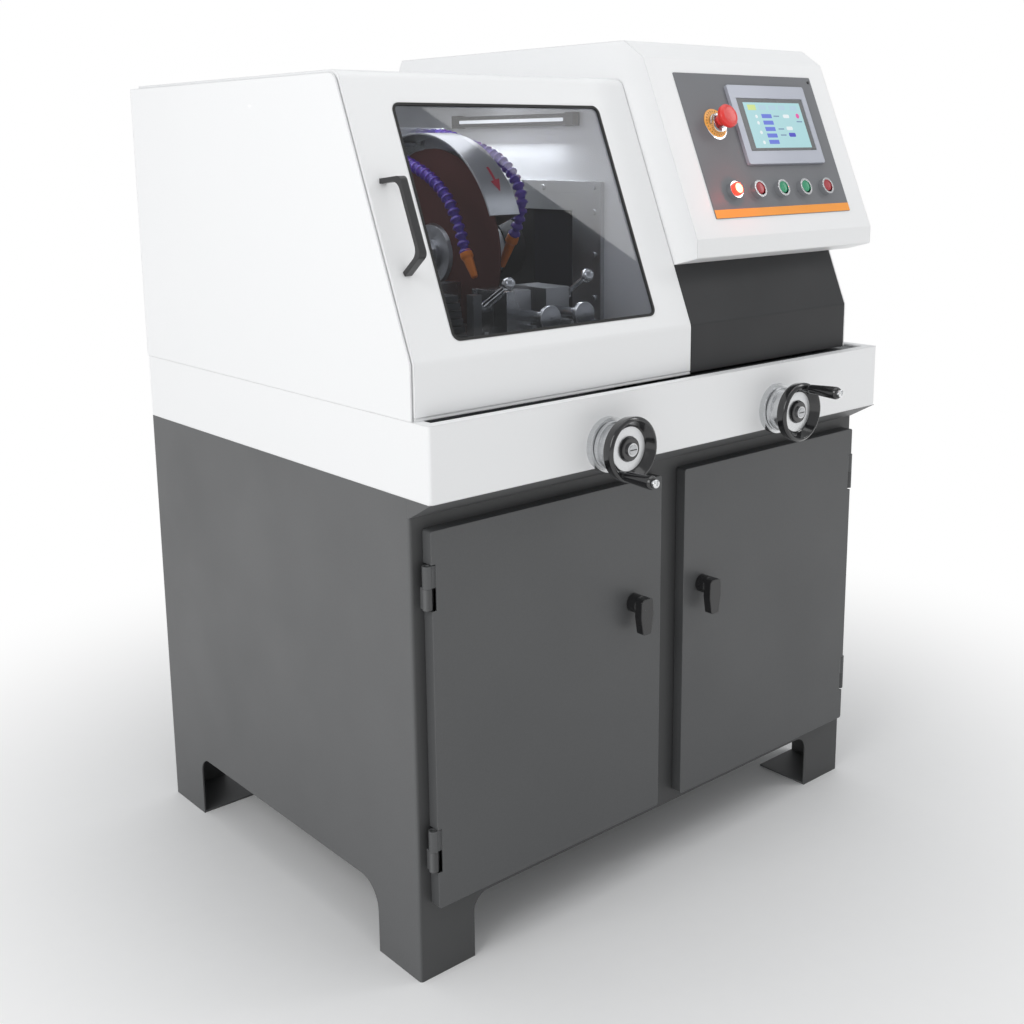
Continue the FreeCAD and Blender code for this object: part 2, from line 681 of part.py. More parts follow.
def make_shaft_bearings():
    parts = []
    for x in (D.left_feed_x, D.right_feed_x):
        centre, front = (x, D.feed_z), -D.flare_out
        parts.append(cut(
            join(rod("Y", centre, front - D.bearing_thick, front, D.bearing_r),
                 rod("Y", centre, front, front + 24, D.sleeve_r)),
            rod("Y", centre, front - 20, front + 30, D.shaft_r + D.fit_gap)))
    finish("shaft_bearings", join(*parts))


def make_machine_base():
    """Table beams in the tray, and the deck with its legs under the drive compartment."""
    floor = D.flare_top + D.cab_sheet
    beams = [box((112, 515), (y, y + 60), (floor, 880)) for y in (120, 540)]
    ties = [box((x, x + 22), (180, 540), (floor, 800)) for x in (112, 493)]
    deck = box((562, 1010), (-20, 775), (D.deck_low, D.deck_top))
    legs = [box((x, x + 30), (y, y + 40), (floor, D.deck_low))
            for x in (566, 976) for y in (-20, 350, 735)]
    rear_bearing = box((700, 760), (700, 725), (floor, D.deck_low))
    slot = box((706, 754), (330, 560), (D.deck_low - 1, D.deck_top + 1))
    bores = [rod("Y", (D.left_feed_x, D.feed_z), 119, 181, D.shaft_r + D.fit_gap),
             rod("Y", (D.right_feed_x, D.feed_z), 699, 726, D.shaft_r + D.fit_gap)]
    finish("machine_base", cut(join(*beams, *ties, deck, *legs, rear_bearing), slot, *bores))
    rails = [box((120, 510), (y, y + 20), (880, 892)) for y in (140, 560)]
    rails += [box((x, x + D.rail_wide), (60, 760), (D.deck_top, D.rail_top))
              for x in (D.rail_left, D.rail_right)]
    finish("linear_rails", join(*rails))


def feed_shaft(centre, end):
    """Shaft with the stepped dial collar behind its handwheel and the screw in its front."""
    return [rod("Y", centre, D.hub_front - 4, end, D.shaft_r),
            rod("Y", centre, D.hub_back, -68, D.dial_step_r),
            rod("Y", centre, -68, -D.flare_out - D.bearing_thick - 1, D.dial_r)]


def make_feeds():
    left, right = (D.left_feed_x, D.feed_z), (D.right_feed_x, D.feed_z)
    pinion = rod("Y", left, 198, 232, 10.2)
    grooves = []
    for i in range(12):
        turn = math.radians(30 * i)
        grooves.append(rod("Y", (left[0] + 10.6 * math.cos(turn), left[1] + 10.6 * math.sin(turn)),
                           197, 233, 1.5))
    finish("left_feed_shaft", cut(join(*feed_shaft(left, 240), pinion), *grooves))
    finish("lead_screw", join(*feed_shaft(right, 735), rod("Y", right, 728, 742, 14)))
    for side, centre, angle in (("left", left, D.left_grip_angle),
                                ("right", right, D.right_grip_angle)):
        wheel = turned(side + "_rim", "Y", centre, [
            (D.shaft_r, D.hub_back), (D.hub_r, D.hub_back), (D.ring_outer_r, -84, 3),
            (D.rim_r - 2, D.rim_back, 2), (D.rim_r, D.rim_front + 4, 3),
            (D.rim_r - 6, D.rim_front), (D.ring_outer_r, D.web_y), (D.hub_r, D.web_y),
            (D.hub_r - 1, D.hub_front, 2),
            (D.shaft_r, D.hub_front)])
        reach = math.radians(number(angle))
        spot = (centre[0] + D.grip_offset * math.cos(reach),
                centre[1] + D.grip_offset * math.sin(reach))
        boss = rod("Y", spot, D.rim_front - 1, D.web_y + 2, D.grip_boss_r)
        pin = join(rod("Y", spot, D.grip_tip, D.rim_front, D.grip_pin_r),
                   rod("Y", spot, D.grip_tip, D.grip_end - 0.5, D.grip_tip_r))
        finish(side + "_handwheel", join(wheel, boss, pin))
        grip = cone("Y", spot, D.grip_end, D.grip_start, D.grip_end_r, D.grip_r)
        bore = rod("Y", spot, D.grip_end - 1, D.grip_start + 1, D.grip_pin_r + D.fit_gap)
        finish(side + "_grip", cut(grip, bore))


# ---------------------------------------------------------------- hood

def hood_path(foot):
    return [(D.cover_rear, D.hood_top), (D.hood_corner_y, D.hood_top), (D.bend_y, D.bend_z),
            (D.bend_y, foot)]


def make_hood_shell():
    edge = offset_path([(D.depth, D.hood_top), *hood_path(D.tray_top)[1:]], D.side_setback)
    outline = [(D.depth, D.tray_top), edge[0], (*edge[1], D.cover_round), (*edge[2], 8), edge[3]]
    Piece("side_sheet").pad("YZ", 0, D.sheet, outline).done("hood_side_panel")

    rear = Piece("back_sheet")
    rear.pad("XZ", D.depth - D.sheet, D.depth,
             rect(D.sheet, D.tray_top, D.housing_left, D.rear_top))
    rear.pad("YZ", D.sheet, D.cover_right,
             rect(D.depth - D.rear_flange, D.rear_top - D.sheet, D.depth - D.sheet, D.rear_top))
    doc.recompute()
    knuckles = []
    for x in (110, 440):
        centre = (D.hinge_axis_y, D.hinge_axis_z)
        lug = box((x - 20, x + 20), (D.hinge_axis_y, D.depth - D.sheet),
                  (D.hinge_axis_z - D.cover_knuckle_r, D.hinge_axis_z - 3))
        knuckles.append(cut(
            join(rod("X", centre, x - 20, x + 20, D.cover_knuckle_r), lug),
            rod("X", centre, x - 21, x + 21, D.cover_pin_r + D.fit_gap)))
    finish("hood_back_panel", join(rear.body, *knuckles))

    inner = offset_path([(D.depth, D.hood_top), *hood_path(D.tray_top)[1:]], 7)
    wall = [(D.depth - D.sheet, D.tray_top), (D.depth - D.sheet, inner[0][1] - 3),
            (D.hinge_axis_y - 30, inner[0][1]), (*inner[1], D.cover_round), (*inner[2], 8),
            inner[3]]
    window = rect(D.plate_front + 8, D.bellows_low - 6, D.plate_rear - 8, D.bellows_high + 8)
    partition = Piece("partition_sheet")
    partition.pad("YZ", D.partition_x, D.partition_x + 3, wall, window)
    partition.done("partition_wall")


def make_cover():
    path = hood_path(D.cover_foot)
    piece = Piece("cover_sheet")
    piece.pad("YZ", D.cover_left, D.cover_right, strip(path, D.sheet, D.cover_round))
    flange = strip(path, D.cover_return, D.cover_return + 4)
    piece.pad("YZ", D.cover_left, D.cover_left + D.sheet, flange)
    piece.pad("YZ", D.cover_right - D.sheet, D.cover_right, flange)
    piece.pocket("COVER", -D.sheet - 3, 4,
                 rect(D.window_left, -D.window_foot, D.window_right, -D.window_top,
                      D.window_round))
    doc.recompute()
    lugs = []
    y, z = D.hinge_axis_y, D.hinge_axis_z
    arm = [(y - 40, D.hood_top - D.sheet), (y - 30, z), (y - 6, z - 7, 3), (y + 4, z - 6, 3),
           (y + 7, z + 2, 3), (y - 6, D.hood_top - D.sheet)]
    for x in (110, 440):
        for start in (x - 25.5, x + 20.5):
            ear = Piece("hinge_ear")
            ear.pad("YZ", start, start + 5, arm)
            lugs.append(ear.body)
        lugs.append(rod("X", (y, z), x - 24, x + 24, D.cover_pin_r))
    finish("cover_panel", join(piece.body, *lugs))

    inside = rect(D.window_left + D.gasket, -D.window_foot + D.gasket,
                  D.window_right - D.gasket, -D.window_top - D.gasket, D.window_round - D.gasket)
    hole = rect(D.window_left, -D.window_foot, D.window_right, -D.window_top, D.window_round)
    Piece("gasket").pad("COVER", -D.sheet, 0.8, hole, inside).done("window_gasket")
    lap = D.glass_lap
    pane = rect(D.window_left - lap, -D.window_foot - lap, D.window_right + lap,
                -D.window_top + lap, D.window_round)
    Piece("pane").pad("COVER", -D.sheet - D.glass, -D.sheet, pane).done("cover_window")

    flare, out, bar = D.handle_flare, D.handle_out, D.handle_bar
    bend = [(-D.handle_high, 0), (-D.handle_high - flare, out), (-D.handle_low + flare, out),
            (-D.handle_low, 0)]
    half = D.handle_wide / 2
    handle = Piece("handle_bar")
    handle.pad("COVER_SIDE", D.handle_x - half, D.handle_x + half,
               strip([(u, v) for u, v in bend[::-1]], bar, D.handle_round))
    handle.done("cover_handle")


# ---------------------------------------------------------------- control housing

def housing_outline():
    return [(D.throat_y, D.throat_z), (D.depth, D.throat_z), (D.depth, D.hood_top),
            (D.housing_rear, D.housing_top), (D.housing_y, D.housing_top), (D.brow_y, D.brow_z),
            (D.chin_y, D.chin_z), (D.chin_y, D.chin_foot)]


def make_control_housing():
    skin = D.sheet
    outline = housing_outline()
    piece = Piece("housing_shell")
    piece.pad("YZ", D.housing_left, D.width, rounded(outline, 3))
    piece.pocket("YZ", D.housing_left + skin, D.width - skin, inset(outline, skin))
    piece.pocket("XY", D.throat_z - 1, D.throat_z + skin,
                 rect(D.housing_left + skin, D.throat_y + 4, D.lower_right - skin,
                      D.depth - skin))
    lap = D.panel_lap
    piece.pocket("PANEL", -skin - 2, 2,
                 rect(D.panel_left + lap, -D.panel_foot + lap, D.panel_right - lap,
                      -D.panel_top - lap, 4))
    low = Slope(D.hood_corner_y, D.hood_top, D.bend_y, D.bend_z)
    top_y = low.top[0] - low.up[0] / low.up[1] * (D.hood_top - D.throat_z)
    piece.pad("YZ", D.lower_right - skin, D.lower_right,
              [(D.bend_y, D.cover_foot - 3), (D.bend_y + 4, D.cover_foot - 3),
               (D.bend_y + 4, D.tray_top), (D.depth, D.tray_top), (D.depth, D.throat_z),
               (top_y, D.throat_z), (D.bend_y, D.bend_z, 8)])
    piece.pad("XZ", D.depth - skin, D.depth,
              rect(D.housing_left, D.tray_top, D.lower_right, D.throat_z))
    piece.pocket("YZ", D.housing_left - 1, D.housing_left + skin + 1,
                 rect(D.plate_front + 8, D.throat_z - 2, D.plate_rear - 8, D.bellows_high + 8))
    piece.done("control_housing")

    front = [(top_y, D.throat_z), (D.bend_y, D.bend_z), (D.bend_y, D.cover_foot - 3)]
    lower = Piece("lower_sheet")
    lower.pad("YZ", D.housing_left, D.lower_right - skin, strip(front, skin, 8))
    lower.pad("XY", D.cover_foot - 3, D.cover_foot,
              rect(D.housing_left, D.bend_y, D.lower_right - skin, D.bend_y + 24))
    lower.done("lower_front_panel")


def button_spots():
    return [D.button_first + D.button_pitch * (i + 1) for i in range(4)]


def make_control_panel():
    thick = D.panel_thick
    holes = [circle(x, -D.button_row, D.ring_bore)
             for x in (D.button_first, *button_spots())]
    holes.append(circle(D.stop_x, -D.stop_s, D.stop_stem_r + D.free_gap))
    cutout = rect(D.screen_left + 8, -D.screen_low + 8, D.screen_right - 8, -D.screen_high - 8)
    plate = Piece("panel_plate")
    plate.pad("PANEL", 0, thick,
              rect(D.panel_left, -D.panel_foot, D.panel_right, -D.panel_top, 2), cutout, *holes)
    plate.done("control_panel")

    case = Piece("screen_case")
    case.pad("PANEL", thick, D.screen_out,
             rect(D.screen_left, -D.screen_low, D.screen_right, -D.screen_high, 4))
    case.pad("PANEL", -D.screen_back, thick,
             rect(D.screen_left + 9, -D.screen_low + 9, D.screen_right - 9, -D.screen_high - 9))
    case.pocket("PANEL", D.screen_out - 1.2, D.screen_out + 1,
                rect(D.glass_left, -D.glass_low, D.glass_right, -D.glass_high, 1))
    case.done("touchscreen")

    lamp = D.button_first
    finish("pilot_lamp", join(
        slope_rod(PANEL, lamp, D.button_row, -D.block_deep, thick, D.ring_bore - 1),
        slope_rod(PANEL, lamp, D.button_row, thick, D.ring_out + 5, D.ring_bore)))
    rings = []
    for x in (D.button_first, *button_spots()):
        row = D.button_row
        rings.append(cut(slope_rod(PANEL, x, row, thick, D.ring_out, D.ring_r),
                         slope_rod(PANEL, x, row, 0, D.ring_out + 1, D.ring_bore)))
        half = D.block_wide / 2
        bore = D.ring_bore - 1 if x is D.button_first else D.stem_bore
        rings.append(cut(
            slope_box(PANEL, (x - half, x + half), (row - half, row + half),
                      (-D.block_deep, -6)),
            slope_rod(PANEL, x, row, -D.block_deep - 1, 0, bore)))
    stop_bore = slope_rod(PANEL, D.stop_x, D.stop_s, -D.block_deep - 1, 20,
                          D.stop_stem_r + D.free_gap)
    rings.append(cut(join(
        slope_rod(PANEL, D.stop_x, D.stop_s, thick, thick + 1.2, D.stop_disc_r),
        slope_rod(PANEL, D.stop_x, D.stop_s, thick, D.stop_collar_out, D.stop_collar_r),
        slope_rod(PANEL, D.stop_x, D.stop_s, -D.block_deep, 0, D.stop_collar_r - 1)), stop_bore))
    finish("button_rings", join(*rings))

    for label, x in zip(("left_red_button", "left_green_button", "right_green_button",
                         "right_red_button"), button_spots()):
        finish(label, join(
            slope_rod(PANEL, x, D.button_row, 3, D.cap_out, D.cap_r),
            slope_rod(PANEL, x, D.button_row, D.cap_travel - 34, 3, D.stem_r)))
    finish("estop_head", join(
        slope_rod(PANEL, D.stop_x, D.stop_s, -24, 22, D.stop_stem_r),
        slope_rod(PANEL, D.stop_x, D.stop_s, 20, 25, D.stop_collar_r - 2),
        slope_rod(PANEL, D.stop_x, D.stop_s, 25, D.stop_out, D.stop_head_r)))


# ---------------------------------------------------------------- cutting chamber

def make_bellows():
    x, frame_thick, plate_thick = D.partition_x, 8, 4
    hole = rect(D.bellows_front, D.bellows_low, D.bellows_rear, D.bellows_high)
    frame = Piece("bellows_plate")
    frame.pad("YZ", x - frame_thick, x,
              rect(D.frame_front, D.frame_low, D.frame_rear, D.frame_high, 2),
              rect(D.plate_front, D.plate_low, D.plate_rear, D.plate_high))
    frame.pad("YZ", x - plate_thick, x,
              rect(D.plate_front, D.plate_low, D.plate_rear, D.plate_high), hole)
    doc.recompute()
    front, rear = D.frame_front + 16, D.frame_rear - 10
    spots = [(front, z) for z in (919, 958, 1032, 1104, 1146)]
    spots += [(rear, z) for z in (919, 1032, 1146)]
    spots += [(y, D.frame_high - 12) for y in (321, 440)]
    heads = [rod("X", spot, x - frame_thick - 3.5, x - frame_thick, 5) for spot in spots]
    finish("bellows_frame", join(frame.body, *heads))

    folds = []
    for low, high in ((D.bellows_front - 10, D.seal_front - 0.5),
                      (D.seal_rear + 0.5, D.bellows_rear + 10)):
        folds.append(pleated_sheet(low, high))
    finish("bellows", join(*folds))


def pleated_sheet(low, high):
    """Accordion sheet along y, folded in x, as tall as the opening."""
    folds = round((number(high) - number(low)) / number(D.pleat))
    step = (high - low) / folds
    near, far = D.partition_x + 4, D.partition_x + 4 + D.pleat_deep
    ridge = [(near if i % 2 else far, low + step * i) for i in range(folds + 1)]
    back = [(x + D.pleat_skin, y) for x, y in ridge]
    piece = Piece("pleats")
    piece.pad("XY", D.bellows_low - 8, D.bellows_high + 5, ridge + back[::-1])
    return piece.body


def stadium(x_low, x_high, radius):
    """Rounded slab around the spindle axis and the motor axis."""
    spindle, motor = (D.axis_y, D.axis_z), (D.motor_axis_y, D.axis_z)
    return join(rod("X", spindle, x_low, x_high, radius), rod("X", motor, x_low, x_high, radius),
                box((x_low, x_high), (D.axis_y, D.motor_axis_y),
                    (D.axis_z - radius, D.axis_z + radius)))


def make_wheel_head():
    spindle, motor = (D.axis_y, D.axis_z), (D.motor_axis_y, D.axis_z)
    gap = D.fit_gap
    wall = D.arm_wall
    shell = cut(stadium(D.arm_start, D.arm_end, D.arm_r),
                stadium(D.arm_start + wall, D.arm_end - wall, D.arm_r - wall))
    neck = rod("X", motor, D.arm_end - 1, D.neck_end, D.neck_r)
    seal = box((D.partition_x + 3.5, D.partition_x + 6.5), (D.seal_front, D.seal_rear),
               (D.bellows_low - 8, D.bellows_high + 5))
    pedestal = box((D.carriage_left + 5, D.neck_end), (390, 470),
                   (D.plate_z + D.plate_thick, D.axis_z))
    finish("spindle_housing", cut(
        join(shell, neck, seal, pedestal), rod("X", motor, D.arm_end - 8, D.neck_end + 1, D.neck_bore),
        rod("X", spindle, D.arm_start - 1, D.arm_end + 1, D.spindle_r + gap)))

    wheel_end = D.wheel_x + D.wheel_thick
    inner_flange = wheel_end + D.flange_thick
    outer_flange = D.wheel_x - D.flange_thick
    shaft = turned("spindle_turning", "X", spindle, [
        (0, D.spindle_end), (D.spindle_r - 3, D.spindle_end), (D.spindle_r - 3, D.wheel_x - 1),
        (D.spindle_r, D.wheel_x - 1), (D.spindle_r, inner_flange),
        (D.nose_small, inner_flange), (D.nose_small, D.nose_start),
        (D.nose_r - 6, D.nose_start + 16, 12), (D.nose_r, D.arm_start - 10, 4),
        (D.nose_r, D.arm_start - 1), (D.spindle_r, D.arm_start - 1),
        (D.spindle_r, D.arm_end - 1), (0, D.arm_end - 1)])
    pulley = tube("X", spindle, D.pulley_start, D.pulley_end, D.spindle_pulley, D.spindle_r - 1)
    finish("spindle_shaft", join(shaft, pulley))

    nut_start = outer_flange - D.boss_long - D.nut_long
    nut = doc.addObject("Part::Prism", "nut")
    nut.Polygon = 6
    bind(nut, "Circumradius", D.nut_across / math.sqrt(3))
    bind(nut, "Height", D.nut_long)
    positioned(nut, nut_start, *spindle, TURN["X"])
    clamped = join(
        rod("X", spindle, outer_flange - D.boss_long, outer_flange, D.boss_r), nut,
        cone("X", spindle, outer_flange, D.wheel_x, D.flange_r - 3, D.flange_r),
        cone("X", spindle, wheel_end, inner_flange, D.flange_r, D.flange_r - 3))
    core = rod("X", spindle, nut_start - 1, D.wheel_x - 1, D.spindle_r - 3)
    seat = rod("X", spindle, D.wheel_x - 1, inner_flange + 1, D.spindle_r)
    gap_disc = rod("X", spindle, D.wheel_x, wheel_end, D.flange_r + 1)
    finish("wheel_flanges", cut(clamped, core, seat, gap_disc))
    finish("cutting_wheel", tube("X", spindle, D.wheel_x, wheel_end, D.wheel_r, D.spindle_r))

    finish("motor_pulley", join(
        rod("X", motor, D.pulley_start - 3, D.motor_start + 20, D.motor_shaft_r),
        rod("X", motor, D.pulley_start, D.pulley_end, D.motor_pulley_r)))
    finish("drive_belt", belt_loop())

    frame_top = D.plate_z + D.plate_thick
    fins = [tube("X", motor, D.motor_start + 40 + 18 * i, D.motor_start + 44 + 18 * i,
                 D.motor_r, D.motor_r - 9) for i in range(9)]
    can = join(rod("X", motor, D.motor_start, D.motor_start + 28, D.motor_r),
               rod("X", motor, D.motor_start + 28, D.motor_end - 40, D.motor_r - 8), *fins,
               rod("X", motor, D.motor_end - 40, D.motor_end, D.motor_r - 4),
               box((D.motor_start + 30, D.motor_end - 60), (380, 480), (frame_top, 1000)),
               box((740, 820), (395, 465), (1100, 1130)))
    finish("drive_motor", cut(can, rod("X", motor, D.motor_start - 1, D.motor_start + 21,
                                       D.motor_shaft_r + gap)))


def belt_loop():
    """Flat ring round the two pulleys: straight outer tangents joined by arcs."""
    small, large = D.spindle_pulley + 0.3, D.motor_pulley_r + 0.3
    thick = D.belt_thick
    low, high = D.pulley_start + 3, D.pulley_end - 3
    return cut(belt_slab(low, high, small + thick, large + thick),
               belt_slab(low - 1, high + 1, small, large))


def belt_slab(low, high, small, large):
    """Hull of two discs about the spindle and motor axes."""
    y_a, y_b, z = D.axis_y, D.motor_axis_y, D.axis_z
    span = number(y_b - y_a)
    lean = math.asin(number(large - small) / span)
    sine, cosine = math.sin(lean), math.cos(lean)
    web = Piece("belt_web")
    web.pad("YZ", low, high, [
        (y_a - small * sine, z - small * cosine), (y_b - large * sine, z - large * cosine),
        (y_b - large * sine, z + large * cosine), (y_a - small * sine, z + small * cosine)])
    return join(rod("X", (y_a, z), low, high, small), rod("X", (y_b, z), low, high, large),
                web.body)


def make_guard():
    centre = (D.axis_y, D.axis_z)
    left, right, thick = D.guard_left, D.guard_right, D.guard_thick
    start, sweep = D.guard_start, D.guard_sweep
    band = cut(sector(centre, left, right, D.guard_r, start, sweep),
               rod("X", centre, left - 1, right + 1, D.guard_r - thick))
    side = cut(sector(centre, right - thick, right, D.guard_r - thick, start, sweep),
               rod("X", centre, right - 4, right + 1, D.guard_hole))
    struts = [rod("X", (D.motor_axis_y, z), right - 1, D.arm_start, D.strut_r)
              for z in (D.axis_z + 33, D.axis_z - 20)]
    manifold = join(box((272, 400), MANIFOLD_Y, MANIFOLD_Z),
                    box((305, 343), (428, 448), (1216, 1224)))
    finish("wheel_guard", join(band, side, *struts, manifold))


MANIFOLD_Y = (424, 452)
MANIFOLD_Z = (1224, 1246)
HOSE_ROUTES = {
    "left": [(282, 438, 1224.5), (282, 416, 1203), (282, 352, 1184), (282, 291, 1158),
             (282, 243, 1112), (282, 221, 1051)],
    "right": [(384, 438, 1234.8), (384, 392, 1234), (384, 346, 1219), (384, 292, 1208),
              (384, 240, 1186), (384, 205, 1150), (384, 199, 1110), (384, 223, 1070)],
}
NOZZLE_TIPS = {"left": (282, 198, 1012), "right": (384, 253, 1020)}


def hose_tube(route, radius):
    """Pipe along straight runs joined by tangent arcs, each as large as its runs allow."""
    points = [Vector(*p) for p in route]
    spots = [points[0]]
    edges = []
    for i in range(1, len(points) - 1):
        back, ahead = points[i - 1] - points[i], points[i + 1] - points[i]
        turn = math.pi - back.getAngle(ahead)
        run = min(back.Length, ahead.Length) * 0.45
        arc_r = run / math.tan(turn / 2)
        entry, middle, leave = corner_geometry(points[i - 1], points[i], points[i + 1], arc_r)
        edges.append(Part.LineSegment(spots[-1], entry).toShape())
        edges.append(Part.Arc(entry, middle, leave).toShape())
        spots.append(leave)
        print(f"hose bend {i}: radius {arc_r:.0f}")
    edges.append(Part.LineSegment(spots[-1], points[-1]).toShape())
    path = Part.Wire(edges)
    heading = points[1] - points[0]
    ring = Part.Wire([Part.Circle(points[0], heading, radius).toShape()])
    solid = path.makePipeShell([ring], True, False)
    expected = math.pi * radius ** 2 * path.Length
    print(f"hose length {path.Length:.0f}, volume against section x length "
          f"{solid.Volume / expected:.4f}")
    return solid


def make_coolant_hoses():
    nozzles = []
    for side, route in HOSE_ROUTES.items():
        base, tip = Vector(*route[-1]), Vector(*NOZZLE_TIPS[side])
        run = tip - base
        collar = run.normalize() * 12
        nozzles.append(Part.makeCone(10, 10.5, 12, base, run))
        nozzles.append(Part.makeCone(8, 5, (tip - base).Length - 12, base + collar, run))
    nozzles = [nozzles[0].fuse(nozzles[1]), nozzles[2].fuse(nozzles[3])]
    thing = doc.addObject("Part::Feature", "nozzle_pair")
    thing.Shape = Part.makeCompound(nozzles)
    finish("coolant_nozzles", thing)

    manifold = Part.makeBox(200, MANIFOLD_Y[1] - MANIFOLD_Y[0], MANIFOLD_Z[1] - MANIFOLD_Z[0],
                            Vector(250, MANIFOLD_Y[0], MANIFOLD_Z[0]))
    hoses = [hose_tube(route, 9).cut(manifold).cut(nozzle)
             for route, nozzle in zip(HOSE_ROUTES.values(), nozzles)]
    thing = doc.addObject("Part::Feature", "hose_pair")
    thing.Shape = Part.makeCompound(hoses)
    finish("coolant_hoses", thing)


def make_lamp():
    x, out = D.partition_x, D.lamp_out
    bar = box((x - out, x - 3), (D.lamp_front, D.lamp_rear), (D.lamp_low, D.lamp_high))
    clips = [box((x - out, x), (y, y + 20), (D.lamp_low - 2, D.lamp_high + 2))
             for y in (D.lamp_front - 20, D.lamp_rear)]
    finish("chamber_lamp", join(bar, *clips))


# ---------------------------------------------------------------- table and vises

def make_table():
    slot = box((D.slot_left, D.slot_right), (D.slot_front, D.slot_rear), (800, 940))
    plate = box((D.table_left, D.table_right), (D.table_front, D.table_rear),
                (D.table_low, D.table_top))
    grooves = [box((D.table_left - 1, D.table_right + 1), (y, y + 12), (D.table_top - 9, 940))
               for y in (330, 430)]
    shoes = []
    channels = []
    for y in (140, 560):
        for x in (175, 400):
            shoes.append(box((x, x + 60), (y - 12, y + 32), (884, D.table_low)))
        channels.append(box((160, 480), (y - 0.4, y + 20.4), (880, 892.4)))
    columns = [box((x, x + 15), (200, 230), (D.rack_z, D.table_low)) for x in (271, 376)]
    rack = box((271, 391), (200, 230), (D.rack_z, D.rack_z + 13))
    slats = [box((150 + 2 * (i % 2), 214 - 3 * i), (135, 265),
                 (D.table_top + 12 * i, D.table_top + 10 + 12 * i)) for i in range(6)]
    core = box((156, 194), (145, 255), (D.table_top, 996))
    post = box((196, 212), (95, 111), (D.table_top, D.block_top))
    finish("work_table", cut(join(plate, *shoes, *columns, rack, *slats, core, post),
                             slot, *grooves, *channels))


def make_vises():
    gap = D.fit_gap
    base = box((217, 420), (D.block_front, 300), (D.table_top, D.block_low))
    slot = box((D.slot_left, D.slot_right), (D.slot_front, 301), (900, 1010))
    parts, bores = [base], []
    for low, high, x in ((D.left_block, D.left_block_end, D.screw_left_x),
                         (D.right_block, D.right_block_end, D.screw_right_x)):
        parts.append(box((low, high), (D.block_front, D.nut_rear), (D.block_low, D.block_top)))
        parts.append(box((low, high), (D.fixed_jaw_front, D.fixed_jaw_rear),
                         (D.block_low, D.block_top)))
        bores.append(rod("Y", (x, D.screw_z), D.block_front - 1, D.nut_rear + 1,
                         D.screw_r + gap))
    bolts = [rod("Z", spot, D.block_low, D.block_low + 9, 6.5)
             for spot in ((228, 108), (246, 140), (400, 180), (410, 108))]
    sockets = [box((low + 6, low + 14), (74, D.block_front), (937, 945))
               for low in (D.left_block + 30, D.right_block + 30)]
    finish("vise_frames", cut(join(*parts, *bolts, *sockets), slot, *bores))

    for side, low, high, x in (("left", D.left_block, D.left_block_end, D.screw_left_x),
                               ("right", D.right_block, D.right_block_end, D.screw_right_x)):
        pocket = rod("Y", (x, D.screw_z), D.jaw_front - 1, D.jaw_rear - 12, D.screw_r + gap)
        jaw = box((low, high), (D.jaw_front, D.jaw_rear), (D.block_low + 0.4, D.block_top))
        if side == "right":
            face = box((low, high + 4), (D.jaw_rear, D.jaw_rear + 6),
                       (D.block_low + 3, D.block_top))
        else:
            face = box((low - 4, high), (D.jaw_rear, D.jaw_rear + 6),
                       (D.block_low + 3, D.block_top))
        finish(side + "_jaw", cut(join(jaw, face), pocket))
        finish(side + "_clamp_screw", join(
            rod("Y", (x, D.screw_z), D.screw_face + D.screw_head, D.jaw_rear - 13, D.screw_r),
            rod("Y", (x, D.screw_z), D.screw_face, D.screw_face + D.screw_head,
                D.screw_head_r)))

    for label, low, high, hub, tip in (
            ("left_cam_lever", D.left_block - D.cam_wide - 0.4, D.left_block - 0.4,
             (147, 971), (81, 1012)),
            ("right_cam_lever", D.right_block_end + 0.4, D.right_block_end + D.cam_wide + 0.4,
             (108, 983), (56, 1017))):
        middle = (low + high) / 2
        start = Vector(number(middle), *hub)
        end = Vector(number(middle), *tip)
        arm = doc.addObject("Part::Cylinder", "arm")
        bind(arm, "Radius", D.cam_arm_r)
        arm.Height = (end - start).Length
        positioned(arm, middle, *hub, Rotation(Vector(0, 0, 1), end - start))
        finish(label, join(rod("X", hub, low, high, D.cam_r), arm, ball(middle, *tip, D.ball_r)))


def make_carriage():
    top = D.plate_z + D.plate_thick
    x0, x1 = D.carriage_left, D.carriage_right
    plate = box((x0, x1), (D.carriage_front, D.carriage_back), (D.plate_z, top))
    shoes, channels = [], []
    for x in (D.rail_left, D.rail_right):
        for y in (D.carriage_front + 10, D.carriage_back - 70):
            shoes.append(box((x - 12, x + D.rail_wide + 12), (y, y + 60),
                             (D.deck_top + 4, D.plate_z)))
        channels.append(box((x - 0.4, x + D.rail_wide + 0.4),
                            (D.carriage_front, D.carriage_back), (D.deck_top, D.rail_top + 0.4)))
    nut = (D.right_feed_x, D.feed_z)
    bracket = box((nut[0] - 15, nut[0] + 15), (425, 465), (D.feed_z, D.plate_z))
    barrel = rod("Y", nut, 425, 465, 22)
    finish("carriage", cut(join(plate, *shoes, bracket, barrel), *channels,
                           rod("Y", nut, 420, 470, D.shaft_r + D.fit_gap)))


make_cabinet()
make_door_hinge_pins()
make_door("left_door", 1, D.hinge_x, D.door_edge, D.door_end, D.lever_left_x, D.lever_left_z)
make_door("right_door", -1, mirrored(D.hinge_x), mirrored(D.door_edge), D.right_door_edge,
          D.lever_right_x, D.lever_right_z)
make_door_lever("left_door_lever", 1, D.lever_left_x, D.lever_left_z)
make_door_lever("right_door_lever", -1, D.lever_right_x, D.lever_right_z)
make_cabinet_contents()
make_bed_tray()
make_shaft_bearings()
make_machine_base()
make_feeds()
make_hood_shell()
make_cover()
make_control_housing()
make_control_panel()
make_bellows()
make_wheel_head()
make_guard()
make_coolant_hoses()
make_lamp()
make_table()
make_vises()
make_carriage()
doc.recompute()

